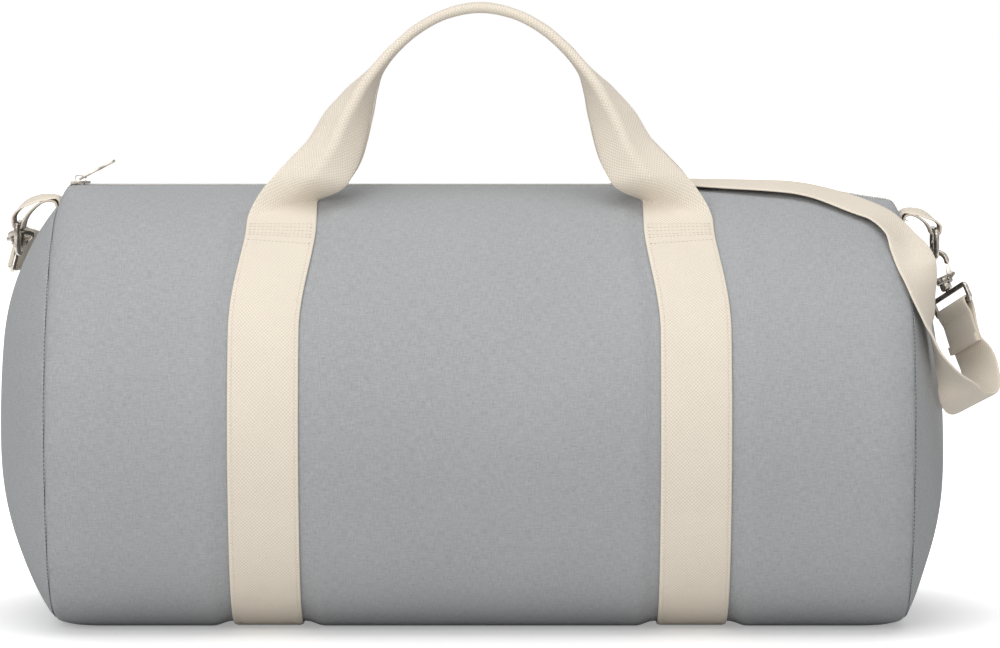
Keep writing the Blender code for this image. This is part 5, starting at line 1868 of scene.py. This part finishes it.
class BAG_OT_zip(bpy.types.Operator):
    """Builds the zip: two tapes, two rows of coil, the slider and its puller"""

    bl_idname = "sports_bag.zip"
    bl_label = "Zip"

    def execute(self, context):
        make_zip_tapes()
        make_zip_coil()
        bevelled_copy("zip_slider", "slider", "slider", EDGE_WIDTHS["slider"])
        bevelled_copy("zip_puller", "puller", "puller", EDGE_WIDTHS["puller"])
        return {"FINISHED"}


class BAG_OT_fittings(bpy.types.Operator):
    """Builds the end tabs, the D-rings and the snap hooks"""

    bl_idname = "sports_bag.fittings"
    bl_label = "Tabs, Rings and Hooks"

    def execute(self, context):
        for side, label in SIDES:
            hook = Hook(side)
            make_tab(side, label)
            make_ring(side, label)
            make_hook_body(label, hook)
            make_hook_eye(label, hook)
            make_hook_pin(label, hook)
            gate, spring = "gate_" + label, "spring_" + label
            bevelled_copy("hook_gate_" + label, gate, gate, EDGE_WIDTHS["gate"])
            bevelled_copy("gate_spring_" + label, spring, "hook_" + label, EDGE_WIDTHS["spring"])
        return {"FINISHED"}


class BAG_OT_strap(bpy.types.Operator):
    """Builds the shoulder strap, its adjuster and its sewn tail"""

    bl_idname = "sports_bag.strap"
    bl_label = "Shoulder Strap"

    def execute(self, context):
        curve = make_strap()
        bevelled_copy("strap_adjuster", "adjuster", BAG, EDGE_WIDTHS["adjuster"])
        stitch("strap_tail_stitches", strap_tail_lines(curve), "strap_hang_right", share=0.8)
        return {"FINISHED"}


class BAG_OT_stitches(bpy.types.Operator):
    """Sews the bands, the seams, the zip edges and the tabs"""

    bl_idname = "sports_bag.stitches"
    bl_label = "Stitching"

    def execute(self, context):
        for side, label in SIDES:
            feet = [line for facing, _ in FACINGS for line in foot_lines(side, facing)]
            stitch("foot_stitches_" + label, feet, BAG, "foot_thread", 0.72)
            stitch("band_stitches_" + label, band_edge_lines(side), BAG, share=0.8)
            stitch("seam_stitches_" + label, seam_lines(side), BAG, "grey_thread", 0.8)
            stitch("tab_stitches_" + label, tab_lines(side), BAG, share=0.8)
        stitch("zip_stitches", zip_edge_lines(), BAG, "grey_thread", 0.8)
        return {"FINISHED"}


def add_light(name, place, aim, size, power):
    """A rectangular lamp that looks at a place."""
    data = bpy.data.lights.new(name, "AREA")
    data.shape = "RECTANGLE"
    data.size, data.size_y = size
    data.energy = power
    lamp = linked(name, data)
    lamp.location = place
    lamp.rotation_euler = (Vector(aim) - Vector(place)).to_track_quat("-Z", "Y").to_euler()


def make_world():
    """White to the camera and in reflections, and a plain soft light on everything else."""
    world = bpy.data.worlds.new("studio")
    world.use_nodes = True
    bpy.context.scene.world = world
    tree = world.node_tree
    tree.nodes.clear()

    def add(kind, links, **settings):
        return tree_node(tree, kind, settings, links).outputs

    rays = add("ShaderNodeLightPath", {})
    links = {0: rays["Is Camera Ray"], 1: rays["Is Transmission Ray"]}
    seen = add("ShaderNodeMath", links, operation="MAXIMUM")
    both = add("ShaderNodeMath", {0: seen[0], 1: rays["Is Glossy Ray"]}, operation="MAXIMUM")
    strength = add("ShaderNodeMapRange", {"To Min": SOFT_LIGHT, "To Max": 1.0, "Value": both[0]})
    sky = add("ShaderNodeBackground", {"Color": WHITE, "Strength": strength[0]})
    add("ShaderNodeOutputWorld", {0: sky[0]})


class BAG_OT_stage(bpy.types.Operator):
    """Sets up the floor, the soft lights and the camera"""

    bl_idname = "sports_bag.stage"
    bl_label = "Studio"

    def execute(self, context):
        half = FLOOR_HALF
        corners = [(-half, -half, 0.0), (half, -half, 0.0), (half, half, 0.0), (-half, half, 0.0)]
        floor = add_piece("studio_floor", corners, [(0, 1, 2, 3)], "floor")
        make_world()
        for lamp in LAMPS:
            add_light(*lamp)
        data = bpy.data.cameras.new("photo_camera")
        data.lens = CAMERA_LENS
        data.sensor_width = CAMERA_SENSOR
        data.clip_start = CAMERA_CLIP
        camera = linked("photo_camera", data)
        back = Vector((0.0, -math.cos(CAMERA_RISE), math.sin(CAMERA_RISE)))
        camera.location = CAMERA_TARGET + back * CAMERA_DISTANCE
        camera.rotation_euler = (math.pi / 2 - CAMERA_RISE, 0.0, 0.0)
        bpy.context.scene.camera = camera
        bpy.context.scene.view_settings.view_transform = "Standard"
        return {"FINISHED"}


OPERATORS = (
    BAG_OT_canvas,
    BAG_OT_webbing,
    BAG_OT_zip,
    BAG_OT_fittings,
    BAG_OT_strap,
    BAG_OT_stitches,
    BAG_OT_stage,
)


class BAG_PT_sidebar(bpy.types.Panel):
    """Lists the steps that build the bag, with its sizes and colours"""

    bl_idname = "BAG_PT_sidebar"
    bl_label = "Sports Bag"
    bl_space_type = "VIEW_3D"
    bl_region_type = "UI"
    bl_category = "Sports Bag"

    def draw(self, context):
        column = self.layout.column()
        for operator in OPERATORS:
            column.operator(operator.bl_idname)
        for group in (context.scene.sports_bag_sizes, context.scene.sports_bag_colours):
            for name in group.bl_rna.properties.keys():
                if name not in ("rna_type", "name"):
                    column.prop(group, name)


CLASSES = (SportsBagSizes, SportsBagColours, *OPERATORS, BAG_PT_sidebar)


def register():
    for cls in CLASSES:
        bpy.utils.register_class(cls)
    bpy.types.Scene.sports_bag_sizes = PointerProperty(type=SportsBagSizes)
    bpy.types.Scene.sports_bag_colours = PointerProperty(type=SportsBagColours)


def unregister():
    del bpy.types.Scene.sports_bag_sizes
    del bpy.types.Scene.sports_bag_colours
    for cls in reversed(CLASSES):
        bpy.utils.unregister_class(cls)


def main():
    register()
    bpy.ops.sports_bag.canvas()
    bpy.ops.sports_bag.webbing()
    bpy.ops.sports_bag.zip()
    bpy.ops.sports_bag.fittings()
    bpy.ops.sports_bag.strap()
    bpy.ops.sports_bag.stitches()
    bpy.ops.sports_bag.stage()


if __name__ == "__main__":
    main()
